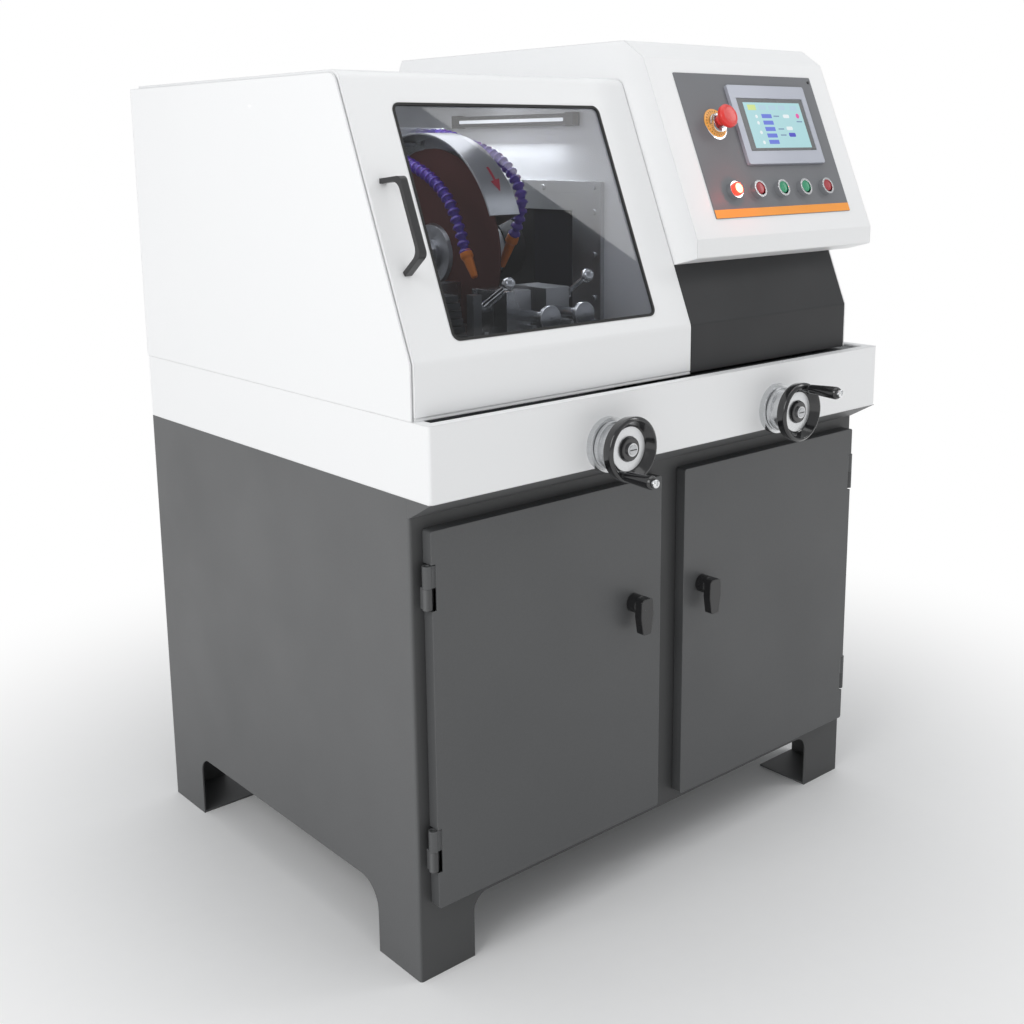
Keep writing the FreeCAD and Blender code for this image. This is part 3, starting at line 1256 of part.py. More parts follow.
for thing in doc.Objects:
    if "Invalid" in thing.State or "Error" in thing.State:
        raise RuntimeError(f"{thing.Name} ({thing.Label}) failed: {thing.State}")
for label, thing in node_shapes.items():
    if thing.Shape.isNull() or not thing.Shape.isValid() or not thing.Shape.Solids:
        raise RuntimeError(f"{label} has no valid solid")

os.makedirs("parts", exist_ok=True)
for label, thing in node_shapes.items():
    thing.Shape.exportStep(f"parts/{label}.step")
print(f"{len(node_shapes)} nodes written")
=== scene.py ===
import json
import math
import random

import bmesh
import bpy
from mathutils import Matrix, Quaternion, Vector


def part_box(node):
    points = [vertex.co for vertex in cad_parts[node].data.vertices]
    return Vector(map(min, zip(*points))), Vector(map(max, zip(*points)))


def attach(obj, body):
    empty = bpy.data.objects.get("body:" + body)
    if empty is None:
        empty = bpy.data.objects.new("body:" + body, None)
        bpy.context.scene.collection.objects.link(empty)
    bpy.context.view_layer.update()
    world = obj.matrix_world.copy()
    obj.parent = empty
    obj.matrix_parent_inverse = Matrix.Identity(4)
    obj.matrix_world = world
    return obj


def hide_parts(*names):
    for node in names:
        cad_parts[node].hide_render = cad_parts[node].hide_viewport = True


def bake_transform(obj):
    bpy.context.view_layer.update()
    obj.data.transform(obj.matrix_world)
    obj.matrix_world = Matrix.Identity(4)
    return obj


# Looks of a floor-standing wet abrasive cut-off machine.  Most places are worked out from the
# frame's nodes and joints; profiles, loops and the hose routes are in millimetres, and MM turns
# them into metres.
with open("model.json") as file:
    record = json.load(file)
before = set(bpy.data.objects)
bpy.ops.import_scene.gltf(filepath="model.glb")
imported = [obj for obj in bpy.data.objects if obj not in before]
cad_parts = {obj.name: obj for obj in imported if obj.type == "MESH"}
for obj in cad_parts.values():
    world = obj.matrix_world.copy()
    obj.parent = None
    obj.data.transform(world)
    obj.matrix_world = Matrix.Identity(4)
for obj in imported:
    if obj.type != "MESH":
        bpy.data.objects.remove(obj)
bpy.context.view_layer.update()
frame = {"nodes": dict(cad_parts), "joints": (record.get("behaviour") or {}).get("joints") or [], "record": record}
MM = 0.001
JOINTS = {joint["name"]: joint for joint in frame["joints"]}
random.seed(7)


def joint_place(name):
    return Vector(JOINTS[name]["pos_m"])


def middle(node):
    low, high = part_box(node)
    return (low + high) / 2


# ---------------------------------------------------------------- materials

def wire(tree, source, target):
    tree.links.new(source, target)


def finish_material(name, colour, roughness, metallic=0.0, coat=0.0, grain=(300, 300, 300),
                    tone=0.06, spread=0.06, bump=0.05, depth=0.2, edge=0.0, edge_wear_and_highlight=0.0,
                    sockets=None, painted_front_shade=0.0):
    """Principled shader whose colour, roughness and bump follow a noise stretched by grain.

    depth and edge are millimetres; edge softens sharp corners, edge_wear_and_highlight makes them paler as rubbed
    wear and painted highlight, and painted_front_shade darkens the front-facing faces as painted shade."""
    made = bpy.data.materials.new(name)
    made.use_nodes = True
    tree = made.node_tree
    new = tree.nodes.new
    shader = tree.nodes["Principled BSDF"]
    shader.inputs["Metallic"].default_value = metallic
    shader.inputs["Coat Weight"].default_value = coat
    shader.inputs["Coat Roughness"].default_value = 0.08
    for socket, value in (sockets or {}).items():
        shader.inputs[socket].default_value = value

    place = new("ShaderNodeTexCoord")
    stretch = new("ShaderNodeMapping")
    stretch.inputs["Scale"].default_value = grain
    wire(tree, place.outputs["Object"], stretch.inputs["Vector"])
    fine = new("ShaderNodeTexNoise")
    fine.inputs["Scale"].default_value = 1.0
    fine.inputs["Detail"].default_value = 4.0
    wire(tree, stretch.outputs["Vector"], fine.inputs["Vector"])
    broad = new("ShaderNodeTexNoise")
    broad.inputs["Scale"].default_value = 5.0
    broad.inputs["Detail"].default_value = 3.0
    wire(tree, place.outputs["Object"], broad.inputs["Vector"])

    shades = new("ShaderNodeMix")
    shades.data_type = "RGBA"
    shades.inputs["A"].default_value = (*[c * (1 - tone) for c in colour], 1)
    shades.inputs["B"].default_value = (*[min(1, c * (1 + tone)) for c in colour], 1)
    wire(tree, fine.outputs["Fac"], shades.inputs["Factor"])
    colour_out = shades.outputs["Result"]

    rough = new("ShaderNodeMapRange")
    rough.inputs["From Min"].default_value = 0.3
    rough.inputs["From Max"].default_value = 0.7
    rough.inputs["To Min"].default_value = max(0.02, roughness - spread)
    rough.inputs["To Max"].default_value = min(1.0, roughness + spread)
    wire(tree, broad.outputs["Fac"], rough.inputs["Value"])
    wire(tree, rough.outputs["Result"], shader.inputs["Roughness"])

    relief = new("ShaderNodeBump")
    relief.inputs["Strength"].default_value = bump
    relief.inputs["Distance"].default_value = depth * MM
    wire(tree, fine.outputs["Fac"], relief.inputs["Height"])
    if edge:
        soft = new("ShaderNodeBevel")
        soft.samples = 4
        soft.inputs["Radius"].default_value = edge * MM
        wire(tree, soft.outputs["Normal"], relief.inputs["Normal"])
        # Painted highlight and wear: where the bevel normal turns from the flat normal, the colour goes paler,
        # partly rubbed edges and partly a painted highlight along them.
        if edge_wear_and_highlight:
            flat = new("ShaderNodeNewGeometry")
            turn = new("ShaderNodeVectorMath")
            turn.operation = "DOT_PRODUCT"
            wire(tree, soft.outputs["Normal"], turn.inputs[0])
            wire(tree, flat.outputs["Normal"], turn.inputs[1])
            edge_wear_highlight_mask = new("ShaderNodeMapRange")
            edge_wear_highlight_mask.inputs["From Min"].default_value = 0.8
            edge_wear_highlight_mask.inputs["From Max"].default_value = 1.0
            edge_wear_highlight_mask.inputs["To Min"].default_value = edge_wear_and_highlight
            edge_wear_highlight_mask.inputs["To Max"].default_value = 0.0
            wire(tree, turn.outputs["Value"], edge_wear_highlight_mask.inputs["Value"])
            edge_wear_highlight_mix = new("ShaderNodeMix")
            edge_wear_highlight_mix.data_type = "RGBA"
            edge_wear_highlight_mix.inputs["B"].default_value = (*[min(1, c * 2.5 + 0.03) for c in colour], 1)
            wire(tree, edge_wear_highlight_mask.outputs["Result"], edge_wear_highlight_mix.inputs["Factor"])
            wire(tree, colour_out, edge_wear_highlight_mix.inputs["A"])
            colour_out = edge_wear_highlight_mix.outputs["Result"]
    # Painted shade: faces whose object-space normal points to the front (-y) are mixed towards black, standing in
    # for the weaker light on the front.
    if painted_front_shade:
        split = new("ShaderNodeSeparateXYZ")
        wire(tree, place.outputs["Normal"], split.inputs["Vector"])
        ahead = new("ShaderNodeMapRange")
        ahead.inputs["From Min"].default_value = -0.5
        ahead.inputs["From Max"].default_value = -1.0
        ahead.inputs["To Max"].default_value = painted_front_shade
        wire(tree, split.outputs["Y"], ahead.inputs["Value"])
        shaded = new("ShaderNodeMix")
        shaded.data_type = "RGBA"
        shaded.inputs["B"].default_value = (0, 0, 0, 1)
        wire(tree, ahead.outputs["Result"], shaded.inputs["Factor"])
        wire(tree, colour_out, shaded.inputs["A"])
        colour_out = shaded.outputs["Result"]
    wire(tree, colour_out, shader.inputs["Base Color"])
    wire(tree, relief.outputs["Normal"], shader.inputs["Normal"])
    return made


def glowing(name, colour, strength, base=(0.5, 0.5, 0.5), tone=0.04):
    """A lit surface: the emission varies a little across it."""
    made = finish_material(name, base, 0.3, tone=tone, sockets={"Emission Strength": strength})
    tree = made.node_tree
    shader = tree.nodes["Principled BSDF"]
    place = tree.nodes.new("ShaderNodeTexCoord")
    noise = tree.nodes.new("ShaderNodeTexNoise")
    noise.inputs["Scale"].default_value = 30.0
    wire(tree, place.outputs["Object"], noise.inputs["Vector"])
    shades = tree.nodes.new("ShaderNodeMix")
    shades.data_type = "RGBA"
    shades.inputs["A"].default_value = (*[c * (1 - tone) for c in colour], 1)
    shades.inputs["B"].default_value = (*colour, 1)
    wire(tree, noise.outputs["Fac"], shades.inputs["Factor"])
    wire(tree, shades.outputs["Result"], shader.inputs["Emission Color"])
    return made


def window_material():
    """Tinted pane: see-through, with a mirror layer that follows the Fresnel law."""
    made = bpy.data.materials.new("window_glass_look")
    made.use_nodes = True
    tree = made.node_tree
    tree.nodes.remove(tree.nodes["Principled BSDF"])
    out = tree.nodes["Material Output"]
    clear = tree.nodes.new("ShaderNodeBsdfTransparent")
    clear.inputs["Color"].default_value = (0.70, 0.71, 0.73, 1)
    mirror = tree.nodes.new("ShaderNodeBsdfGlossy")
    mirror.inputs["Roughness"].default_value = 0.02
    fresnel = tree.nodes.new("ShaderNodeFresnel")
    fresnel.inputs["IOR"].default_value = 1.45
    blend = tree.nodes.new("ShaderNodeMixShader")
    facing = tree.nodes.new("ShaderNodeNewGeometry")
    outer_only = tree.nodes.new("ShaderNodeMath")
    outer_only.operation = "MULTIPLY_ADD"
    outer_only.inputs[1].default_value = -1.0
    outer_only.inputs[2].default_value = 1.0
    share = tree.nodes.new("ShaderNodeMath")
    share.operation = "MULTIPLY"
    wire(tree, facing.outputs["Backfacing"], outer_only.inputs[0])
    wire(tree, outer_only.outputs["Value"], share.inputs[0])
    wire(tree, fresnel.outputs["Fac"], share.inputs[1])
    wire(tree, share.outputs["Value"], blend.inputs["Fac"])
    wire(tree, clear.outputs["BSDF"], blend.inputs[1])
    wire(tree, mirror.outputs["BSDF"], blend.inputs[2])
    wire(tree, blend.outputs["Shader"], out.inputs["Surface"])
    return made


def abrasive_material():
    """Resin-bonded grit: dark brown-red with paler speckles and a sandy relief."""
    made = finish_material("abrasive_look", (0.085, 0.022, 0.018), 0.9, grain=(900, 900, 900),
                           tone=0.45, bump=0.6, depth=0.5)
    tree = made.node_tree
    shader = tree.nodes["Principled BSDF"]
    place = tree.nodes.new("ShaderNodeTexCoord")
    grit = tree.nodes.new("ShaderNodeTexVoronoi")
    grit.inputs["Scale"].default_value = 420.0
    wire(tree, place.outputs["Object"], grit.inputs["Vector"])
    spots = tree.nodes.new("ShaderNodeMapRange")
    spots.inputs["From Min"].default_value = 0.12
    spots.inputs["From Max"].default_value = 0.2
    spots.inputs["To Min"].default_value = 0.5
    spots.inputs["To Max"].default_value = 0.0
    wire(tree, grit.outputs["Distance"], spots.inputs["Value"])
    speckled = tree.nodes.new("ShaderNodeMix")
    speckled.data_type = "RGBA"
    speckled.inputs["B"].default_value = (0.25, 0.10, 0.07, 1)
    ground = shader.inputs["Base Color"].links[0].from_socket
    wire(tree, spots.outputs["Result"], speckled.inputs["Factor"])
    wire(tree, ground, speckled.inputs["A"])
    wire(tree, speckled.outputs["Result"], shader.inputs["Base Color"])
    return made


def turned_steel():
    """Faced steel: the lathe marks run round the y axis, so highlights fan out."""
    made = finish_material("turned_steel_look", (0.55, 0.56, 0.58), 0.24, metallic=1.0,
                           tone=0.08, grain=(700, 30, 700), bump=0.04,
                           sockets={"Anisotropic": 0.85})
    tree = made.node_tree
    tangent = tree.nodes.new("ShaderNodeTangent")
    tangent.direction_type = "RADIAL"
    tangent.axis = "Y"
    wire(tree, tangent.outputs["Tangent"], tree.nodes["Principled BSDF"].inputs["Tangent"])
    return made


# Paler edges on the dark paints are partly rubbed wear and partly a painted highlight.
LOOKS = {
    # Painted shade: the cabinet paint is darkened on its front-facing faces.
    "cabinet_paint": finish_material("cabinet_paint_look", (0.105, 0.107, 0.109), 0.5, tone=0.1,
                                     grain=(420, 420, 420), bump=0.12, depth=0.15, edge=2.0,
                                     edge_wear_and_highlight=0.35, painted_front_shade=0.5),
    # Painted shade: the door paint is a darker copy of the cabinet paint, standing in for the weaker light on the
    # front doors.
    "door_paint": finish_material("door_paint_shaded_look", (0.080, 0.082, 0.084), 0.46, tone=0.1,
                                  grain=(420, 420, 420), bump=0.12, depth=0.15, edge=2.2,
                                  edge_wear_and_highlight=0.45),
    "white_paint": finish_material("white_paint_look", (0.84, 0.845, 0.85), 0.42,
                                   grain=(380, 380, 380), tone=0.012, bump=0.07, depth=0.15,
                                   edge=2.5),
    "black_paint": finish_material("black_paint_look", (0.016, 0.0165, 0.018), 0.5,
                                   grain=(700, 700, 700), tone=0.2, bump=0.18, depth=0.15,
                                   edge=1.5, edge_wear_and_highlight=0.2),
    "panel_grey": finish_material("panel_grey_look", (0.165, 0.17, 0.182), 0.55,
                                  grain=(900, 900, 900), tone=0.08, bump=0.1, depth=0.1,
                                  edge=0.5),
    "bezel_silver": finish_material("bezel_silver_look", (0.42, 0.44, 0.50), 0.4, metallic=0.35,
                                    grain=(1200, 1200, 1200), tone=0.05, bump=0.05, edge=1.0),
    "steel": finish_material("steel_look", (0.50, 0.51, 0.52), 0.3, metallic=1.0,
                             grain=(60, 900, 900), tone=0.12, spread=0.08, bump=0.1, edge=0.8),
    "stainless": finish_material("stainless_look", (0.60, 0.61, 0.62), 0.3, metallic=1.0,
                                 grain=(40, 1100, 1100), tone=0.12, spread=0.07, bump=0.12,
                                 edge=0.8),
    "zinc": finish_material("zinc_look", (0.45, 0.46, 0.48), 0.34, metallic=1.0, tone=0.15,
                            grain=(250, 250, 250), bump=0.06, edge=1.0),
    "iron": finish_material("iron_look", (0.16, 0.165, 0.17), 0.45, metallic=0.8,
                            grain=(700, 60, 700), tone=0.2, spread=0.12, bump=0.15, edge=1.0),
    "aluminium": finish_material("aluminium_look", (0.68, 0.69, 0.70), 0.3, metallic=1.0,
                                 grain=(1500, 6, 1500), tone=0.2, bump=0.35, depth=0.3,
                                 edge=0.6),
    "chrome_trim": finish_material("chrome_look", (0.78, 0.79, 0.80), 0.1, metallic=1.0,
                                   tone=0.03, spread=0.03, bump=0.01, edge=0.7),
    "bellows_black": finish_material("bellows_look", (0.03, 0.029, 0.045), 0.6, tone=0.2,
                                     grain=(1400, 1400, 1400), bump=0.3, depth=0.1),
    "gasket_rubber": finish_material("gasket_look", (0.014, 0.014, 0.014), 0.65, tone=0.2,
                                     grain=(900, 900, 900), bump=0.2, edge=0.5),
    "wheel_black": finish_material("wheel_black_look", (0.011, 0.011, 0.012), 0.16, coat=0.6,
                                   tone=0.15, spread=0.05, bump=0.015),
    "lever_black": finish_material("lever_black_look", (0.013, 0.013, 0.014), 0.3, coat=0.2,
                                   tone=0.15, grain=(800, 800, 800), bump=0.05, edge=3.0),
    "motor_paint": finish_material("motor_paint_look", (0.08, 0.10, 0.13), 0.45, tone=0.12,
                                   bump=0.15, edge=1.5, edge_wear_and_highlight=0.3),
    "belt_rubber": finish_material("belt_look", (0.02, 0.02, 0.02), 0.7, tone=0.2,
                                   grain=(40, 700, 700), bump=0.3),
    "tank_steel": finish_material("tank_look", (0.42, 0.43, 0.44), 0.42, metallic=1.0, tone=0.2,
                                  grain=(60, 60, 60), spread=0.12, bump=0.1, edge=1.5),
    "panel_board": finish_material("panel_board_look", (0.5, 0.51, 0.52), 0.5, tone=0.06,
                                   bump=0.05, edge=1.0),
    "gland_black": finish_material("gland_look", (0.02, 0.02, 0.02), 0.5, tone=0.15, bump=0.1,
                                   edge=0.8),
    "hose_violet": finish_material("hose_look", (0.10, 0.045, 0.42), 0.3, coat=0.25, tone=0.1,
                                   grain=(200, 200, 200), bump=0.03,
                                   sockets={"Subsurface Weight": 0.1}),
    "nozzle_orange": finish_material("nozzle_look", (0.85, 0.23, 0.015), 0.35, coat=0.2,
                                     tone=0.06, bump=0.03, edge=0.5),
    "estop_red": finish_material("estop_look", (0.72, 0.035, 0.028), 0.32, coat=0.3, tone=0.06,
                                 bump=0.03),
    "button_red": finish_material("button_red_look", (0.36, 0.008, 0.018), 0.35, coat=0.3,
                                  tone=0.1, grain=(1500, 1500, 1500), bump=0.08),
    "button_green": finish_material("button_green_look", (0.0, 0.27, 0.12), 0.35, coat=0.3,
                                    tone=0.1, grain=(1500, 1500, 1500), bump=0.08),
    "lamp_white": finish_material("lamp_case_look", (0.03, 0.03, 0.033), 0.4, tone=0.1,
                                  bump=0.05, edge=0.8),
    "window_glass": window_material(),
    "abrasive": abrasive_material(),
    "steel_turned": turned_steel(),
}
STRIPE = finish_material("stripe_look", (0.92, 0.33, 0.03), 0.4, tone=0.03, bump=0.03,
                         grain=(900, 900, 900))
DISC_YELLOW = finish_material("stop_disc_look", (0.9, 0.42, 0.08), 0.4, tone=0.05, bump=0.03)
ARROW_RED = finish_material("arrow_look", (0.55, 0.03, 0.06), 0.45, tone=0.1, bump=0.05)
# Near-black for the tick marks on the stop disc, and painted shade for the screw slot on a flat screw face.
DARK_TICKS_AND_SLOT_SHADE = finish_material("dark_ticks_and_slot_shade_look", (0.008, 0.008, 0.008), 0.6, tone=0.1, bump=0.05)
SCREEN_DARK = finish_material("screen_surround_look", (0.10, 0.105, 0.11), 0.25, coat=0.5,
                              tone=0.05, bump=0.01)
LIT_RED = glowing("lamp_lit_look", (1.0, 0.045, 0.02), 1.7, base=(0.7, 0.05, 0.03), tone=0.3)
LIT_CORE = glowing("lamp_core_look", (1.0, 0.55, 0.34), 2.2, base=(0.9, 0.4, 0.1))
LIT_BAR = glowing("lamp_bar_look", (0.93, 0.97, 1.0), 0.9, base=(0.8, 0.8, 0.8))
SCREEN_COLOURS = {
    "sky": (0.42, 0.72, 0.76), "tab": (0.66, 0.80, 0.26), "tab_pale": (0.45, 0.66, 0.78),
    "blue": (0.10, 0.16, 0.72), "white": (0.85, 0.93, 0.95), "pink": (0.85, 0.06, 0.38),
    "deep": (0.03, 0.03, 0.55), "ink": (0.13, 0.22, 0.40),
}
SCREEN = {key: glowing("screen_" + key, colour, 0.85, base=(0.02, 0.02, 0.02))
          for key, colour in SCREEN_COLOURS.items()}


def dress_frame():
    """Each CAD node gets the look of the record's slot that it names."""
    for part in frame["record"]["subparts"]:
        node = frame["nodes"][part["node"]]
        look = LOOKS.get(part["material_slot"])
        if look is None:
            continue
        node.data.materials.clear()
        node.data.materials.append(look)


# ---------------------------------------------------------------- mesh helpers

def make_object(name, points, faces, look, body, smooth=None):
    mesh = bpy.data.meshes.new(name)
    mesh.from_pydata([tuple(p) for p in points], [], faces)
    mesh.validate()
    mesh.update()
    if smooth is not None:
        mesh.shade_smooth()
        mesh.set_sharp_from_angle(angle=math.radians(smooth))
    mesh.materials.append(look)
    made = bpy.data.objects.new(name, mesh)
    bpy.context.scene.collection.objects.link(made)
    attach(made, body)
    return made


def round_corners(profile, steps=5):
    """Points (a, b) with corners of (a, b, radius) turned into arcs; the ends stay sharp."""
    result = []
    for i, corner in enumerate(profile):
        here = Vector(corner[:2])
        radius = corner[2] if len(corner) > 2 else 0
        if not radius or i in (0, len(profile) - 1):
            result.append(here)
            continue
        back = (Vector(profile[i - 1][:2]) - here).normalized()
        ahead = (Vector(profile[i + 1][:2]) - here).normalized()
        half = back.angle(ahead) / 2
        if half > math.radians(88):
            result.append(here)
            continue
        centre = here + (back + ahead).normalized() * (radius / math.sin(half))
        first = here + back * (radius / math.tan(half)) - centre
        last = here + ahead * (radius / math.tan(half)) - centre
        sweep = first.angle_signed(last)
        for k in range(steps + 1):
            turn = -sweep * k / steps
            result.append(centre + Vector((
                first.x * math.cos(turn) - first.y * math.sin(turn),
                first.x * math.sin(turn) + first.y * math.cos(turn))))
    return result


def lathe_parts(profile, origin, axis, segments=72):
    """Points and faces of a closed turning; profile is (radius, along) in millimetres."""
    turn = Vector(axis).to_track_quat("Z", "Y")
    points, faces, rings = [], [], []
    for radius, along in profile:
        if radius < 1e-6:
            rings.append([len(points)])
            points.append(Vector(origin) + turn @ Vector((0, 0, along * MM)))
            continue
        ring = []
        for k in range(segments):
            a = 2 * math.pi * k / segments
            ring.append(len(points))
            points.append(Vector(origin) + turn @ Vector(
                (radius * math.cos(a) * MM, radius * math.sin(a) * MM, along * MM)))
        rings.append(ring)
    for lower, upper in zip(rings, rings[1:]):
        for k in range(segments):
            n = (k + 1) % segments
            if len(lower) == 1 and len(upper) == 1:
                continue
            if len(lower) == 1:
                faces.append((lower[0], upper[n], upper[k]))
            elif len(upper) == 1:
                faces.append((lower[k], lower[n], upper[0]))
            else:
                faces.append((lower[k], lower[n], upper[n], upper[k]))
    return points, faces


def lathe(name, profile, origin, axis, look, body, closed=False, smooth=40):
    outline = round_corners(profile)
    if closed:
        outline = outline + outline[:1]
    points, faces = lathe_parts(outline, origin, axis)
    made = make_object(name, points, faces, look, body, smooth)
    if closed:
        weld(made)
    return made


def weld(made):
    """Joins points that coincide, where a closed outline starts and ends."""
    work = bmesh.new()
    work.from_mesh(made.data)
    bmesh.ops.remove_doubles(work, verts=work.verts, dist=1e-6)
    bmesh.ops.recalc_face_normals(work, faces=work.faces)
    work.to_mesh(made.data)
    work.free()


def rounded_rectangle(u0, v0, u1, v1, radius, steps=5):
    corners = ((u1 - radius, v1 - radius, 0), (u0 + radius, v1 - radius, 90),
               (u0 + radius, v0 + radius, 180), (u1 - radius, v0 + radius, 270))
    loop = []
    for u, v, start in corners:
        for k in range(steps + 1):
            a = math.radians(start + 90 * k / steps)
            loop.append((u + radius * math.cos(a), v + radius * math.sin(a)))
    return loop


def disc_loop(u, v, radius, count=40):
    return [(u + radius * math.cos(2 * math.pi * k / count),
             v + radius * math.sin(2 * math.pi * k / count)) for k in range(count)]


def slabs(name, loops, place, low, high, look, body):
    """Closed thin plates; place(u, v, h) gives the row-frame point of plate coordinates."""
    points, faces = [], []
    for loop in loops:
        base, count = len(points), len(loop)
        points += [place(u, v, low) for u, v in loop]
        points += [place(u, v, high) for u, v in loop]
        faces.append(tuple(base + k for k in range(count)))
        faces.append(tuple(base + count + k for k in reversed(range(count))))
        for k in range(count):
            n = (k + 1) % count
            faces.append((base + k, base + count + k, base + count + n, base + n))
    made = make_object(name, points, faces, look, body)
    weld(made)
    return made


# ---------------------------------------------------------------- camera, floor and light

def look_at_quaternion(yaw, pitch, roll):
    ahead = Vector((math.sin(yaw) * math.cos(pitch), math.cos(yaw) * math.cos(pitch),
                    -math.sin(pitch)))
    return ahead.to_track_quat("-Z", "Y") @ Quaternion((0, 0, 1), roll)


CAMERA_PLACE = Vector((-1.5164, -1.7172, 1.2147))
CAMERA_YAW, CAMERA_PITCH, CAMERA_ROLL = 0.7140, 0.1997, -0.0089


def make_camera():
    data = bpy.data.cameras.new("camera")
    data.lens = 45.84
    data.shift_x = -0.0138
    data.shift_y = -0.10
    camera = bpy.data.objects.new("camera", data)
    camera.rotation_mode = "QUATERNION"
    camera.location = CAMERA_PLACE
    camera.rotation_quaternion = look_at_quaternion(CAMERA_YAW, CAMERA_PITCH,
                                                    CAMERA_ROLL)
    bpy.context.scene.collection.objects.link(camera)
    bpy.context.scene.camera = camera


def area_light(name, place, aim, size, watts, colour=(1, 1, 1)):
    data = bpy.data.lights.new(name, "AREA")
    data.shape = "RECTANGLE"
    data.size, data.size_y = size
    data.energy = watts
    data.color = colour
    light = bpy.data.objects.new(name, data)
    light.location = place
    light.rotation_mode = "QUATERNION"
    light.rotation_quaternion = (Vector(aim) - Vector(place)).to_track_quat("-Z", "Y")
    bpy.context.scene.collection.objects.link(light)


def make_world():
    world = bpy.data.worlds.new("studio")
    bpy.context.scene.world = world
    world.use_nodes = True
    tree = world.node_tree
    tree.nodes["Background"].inputs["Color"].default_value = (0.97, 0.985, 1.0, 1)
    tree.nodes["Background"].inputs["Strength"].default_value = 0.54
    white = tree.nodes.new("ShaderNodeBackground")
    white.inputs["Color"].default_value = (1, 1, 1, 1)
    path = tree.nodes.new("ShaderNodeLightPath")
    blend = tree.nodes.new("ShaderNodeMixShader")
    wire(tree, path.outputs["Is Camera Ray"], blend.inputs["Fac"])
    wire(tree, tree.nodes["Background"].outputs["Background"], blend.inputs[1])
    wire(tree, white.outputs["Background"], blend.inputs[2])
    wire(tree, blend.outputs["Shader"], tree.nodes["World Output"].inputs["Surface"])


def make_floor():
    """Pale floor that fades to white away from the machine."""
    look = finish_material("floor_look", (0.90, 0.90, 0.90), 0.6, tone=0.01, grain=(30, 30, 30),
                           bump=0.02)
    tree = look.node_tree
    place = tree.nodes.new("ShaderNodeTexCoord")
    reach = tree.nodes.new("ShaderNodeVectorMath")
    reach.operation = "LENGTH"
    wire(tree, place.outputs["Object"], reach.inputs[0])
    fade = tree.nodes.new("ShaderNodeMapRange")
    fade.interpolation_type = "SMOOTHSTEP"
    fade.inputs["From Min"].default_value = 0.55
    fade.inputs["From Max"].default_value = 1.7
    wire(tree, reach.outputs["Value"], fade.inputs["Value"])
    white = tree.nodes.new("ShaderNodeEmission")
    white.inputs["Strength"].default_value = 1.0
    blend = tree.nodes.new("ShaderNodeMixShader")
    wire(tree, fade.outputs["Result"], blend.inputs["Fac"])
    wire(tree, tree.nodes["Principled BSDF"].outputs["BSDF"], blend.inputs[1])
    wire(tree, white.outputs["Emission"], blend.inputs[2])
    wire(tree, blend.outputs["Shader"], tree.nodes["Material Output"].inputs["Surface"])
    mesh = bpy.data.meshes.new("floor")
    loop = disc_loop(0, 0, 40, 96)
    mesh.from_pydata([(u, v, 0) for u, v in loop], [], [tuple(range(len(loop)))])
    mesh.materials.append(look)
    floor = bpy.data.objects.new("floor", mesh)
    bpy.context.scene.collection.objects.link(floor)


def make_reflector():
    """Softbox to the front right; the window mirrors its slanting edge.

    Its corners lie on rays from the camera's mirror image through points of the pane's
    plane, far times as long."""
    low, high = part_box("cover_window")
    run = Vector((0, high.y - low.y, high.z - low.z))
    along = run.normalized()
    out = Vector((0, -along.z, along.y))
    back = CAMERA_PLACE - 2 * (CAMERA_PLACE - low).dot(out) * out
    top_left = Vector((low.x, high.y, high.z))
    width, tall = high.x - low.x, run.length

    def pane_point(across, down):
        return top_left + Vector((width * across, 0, 0)) - along * (tall * down)

    corners = [pane_point(-0.02, -0.02), pane_point(1.5, -0.5), pane_point(1.5, 1.24)]
    far = 2.6
    mesh = bpy.data.meshes.new("softbox")
    mesh.from_pydata([tuple(back + (p - back) * far) for p in corners], [], [(0, 1, 2)])
    look = bpy.data.materials.new("softbox_look")
    look.use_nodes = True
    tree = look.node_tree
    glow = tree.nodes.new("ShaderNodeEmission")
    glow.inputs["Strength"].default_value = 4.5
    wire(tree, glow.outputs["Emission"], tree.nodes["Material Output"].inputs["Surface"])
    mesh.materials.append(look)
    box = bpy.data.objects.new("softbox", mesh)
    box.visible_camera = False
    bpy.context.scene.collection.objects.link(box)


def make_lights():
    area_light("key", (-3.2, -0.7, 2.5), (0, 0, 0.8), (2.2, 2.2), 49)
    area_light("front", (1.4, -3.4, 1.9), (0.2, 0, 0.9), (1.8, 1.8), 4)
    area_light("top", (0.2, -0.2, 3.6), (0, 0, 0.6), (2.6, 2.6), 22)
    low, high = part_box("chamber_lamp")
    centre = (low + high) / 2
    area_light("chamber", (low.x - 0.01, centre.y, low.z - 0.01), (low.x - 0.25, centre.y, 0.9),
               (0.26, 0.02), 0.5, (0.95, 0.98, 1.0))
    area_light("chamber_fill", (low.x - 0.27, centre.y, high.z + 0.02),
               (low.x - 0.25, centre.y - 0.02, 0.9), (0.40, 0.34), 1.0)


# ---------------------------------------------------------------- handwheels and knobs

RIM = [(10, -80), (19, -80, 1), (34, -84, 3), (48, -91, 3), (50, -106, 3.4), (44.6, -110, 2.2),
       (36, -97, 3), (34, -95), (19, -95), (18, -101, 2), (10, -101)]
GRIP = [(4.06, -167.9), (8.6, -167.9, 1.5), (10.4, -164, 5), (9.8, -150, 30), (7.6, -114, 3),
        (6.9, -111.6, 1), (4.06, -111.6)]
GRIP_FRONT = -168  # where the wheel and grip profiles put the grip's front end


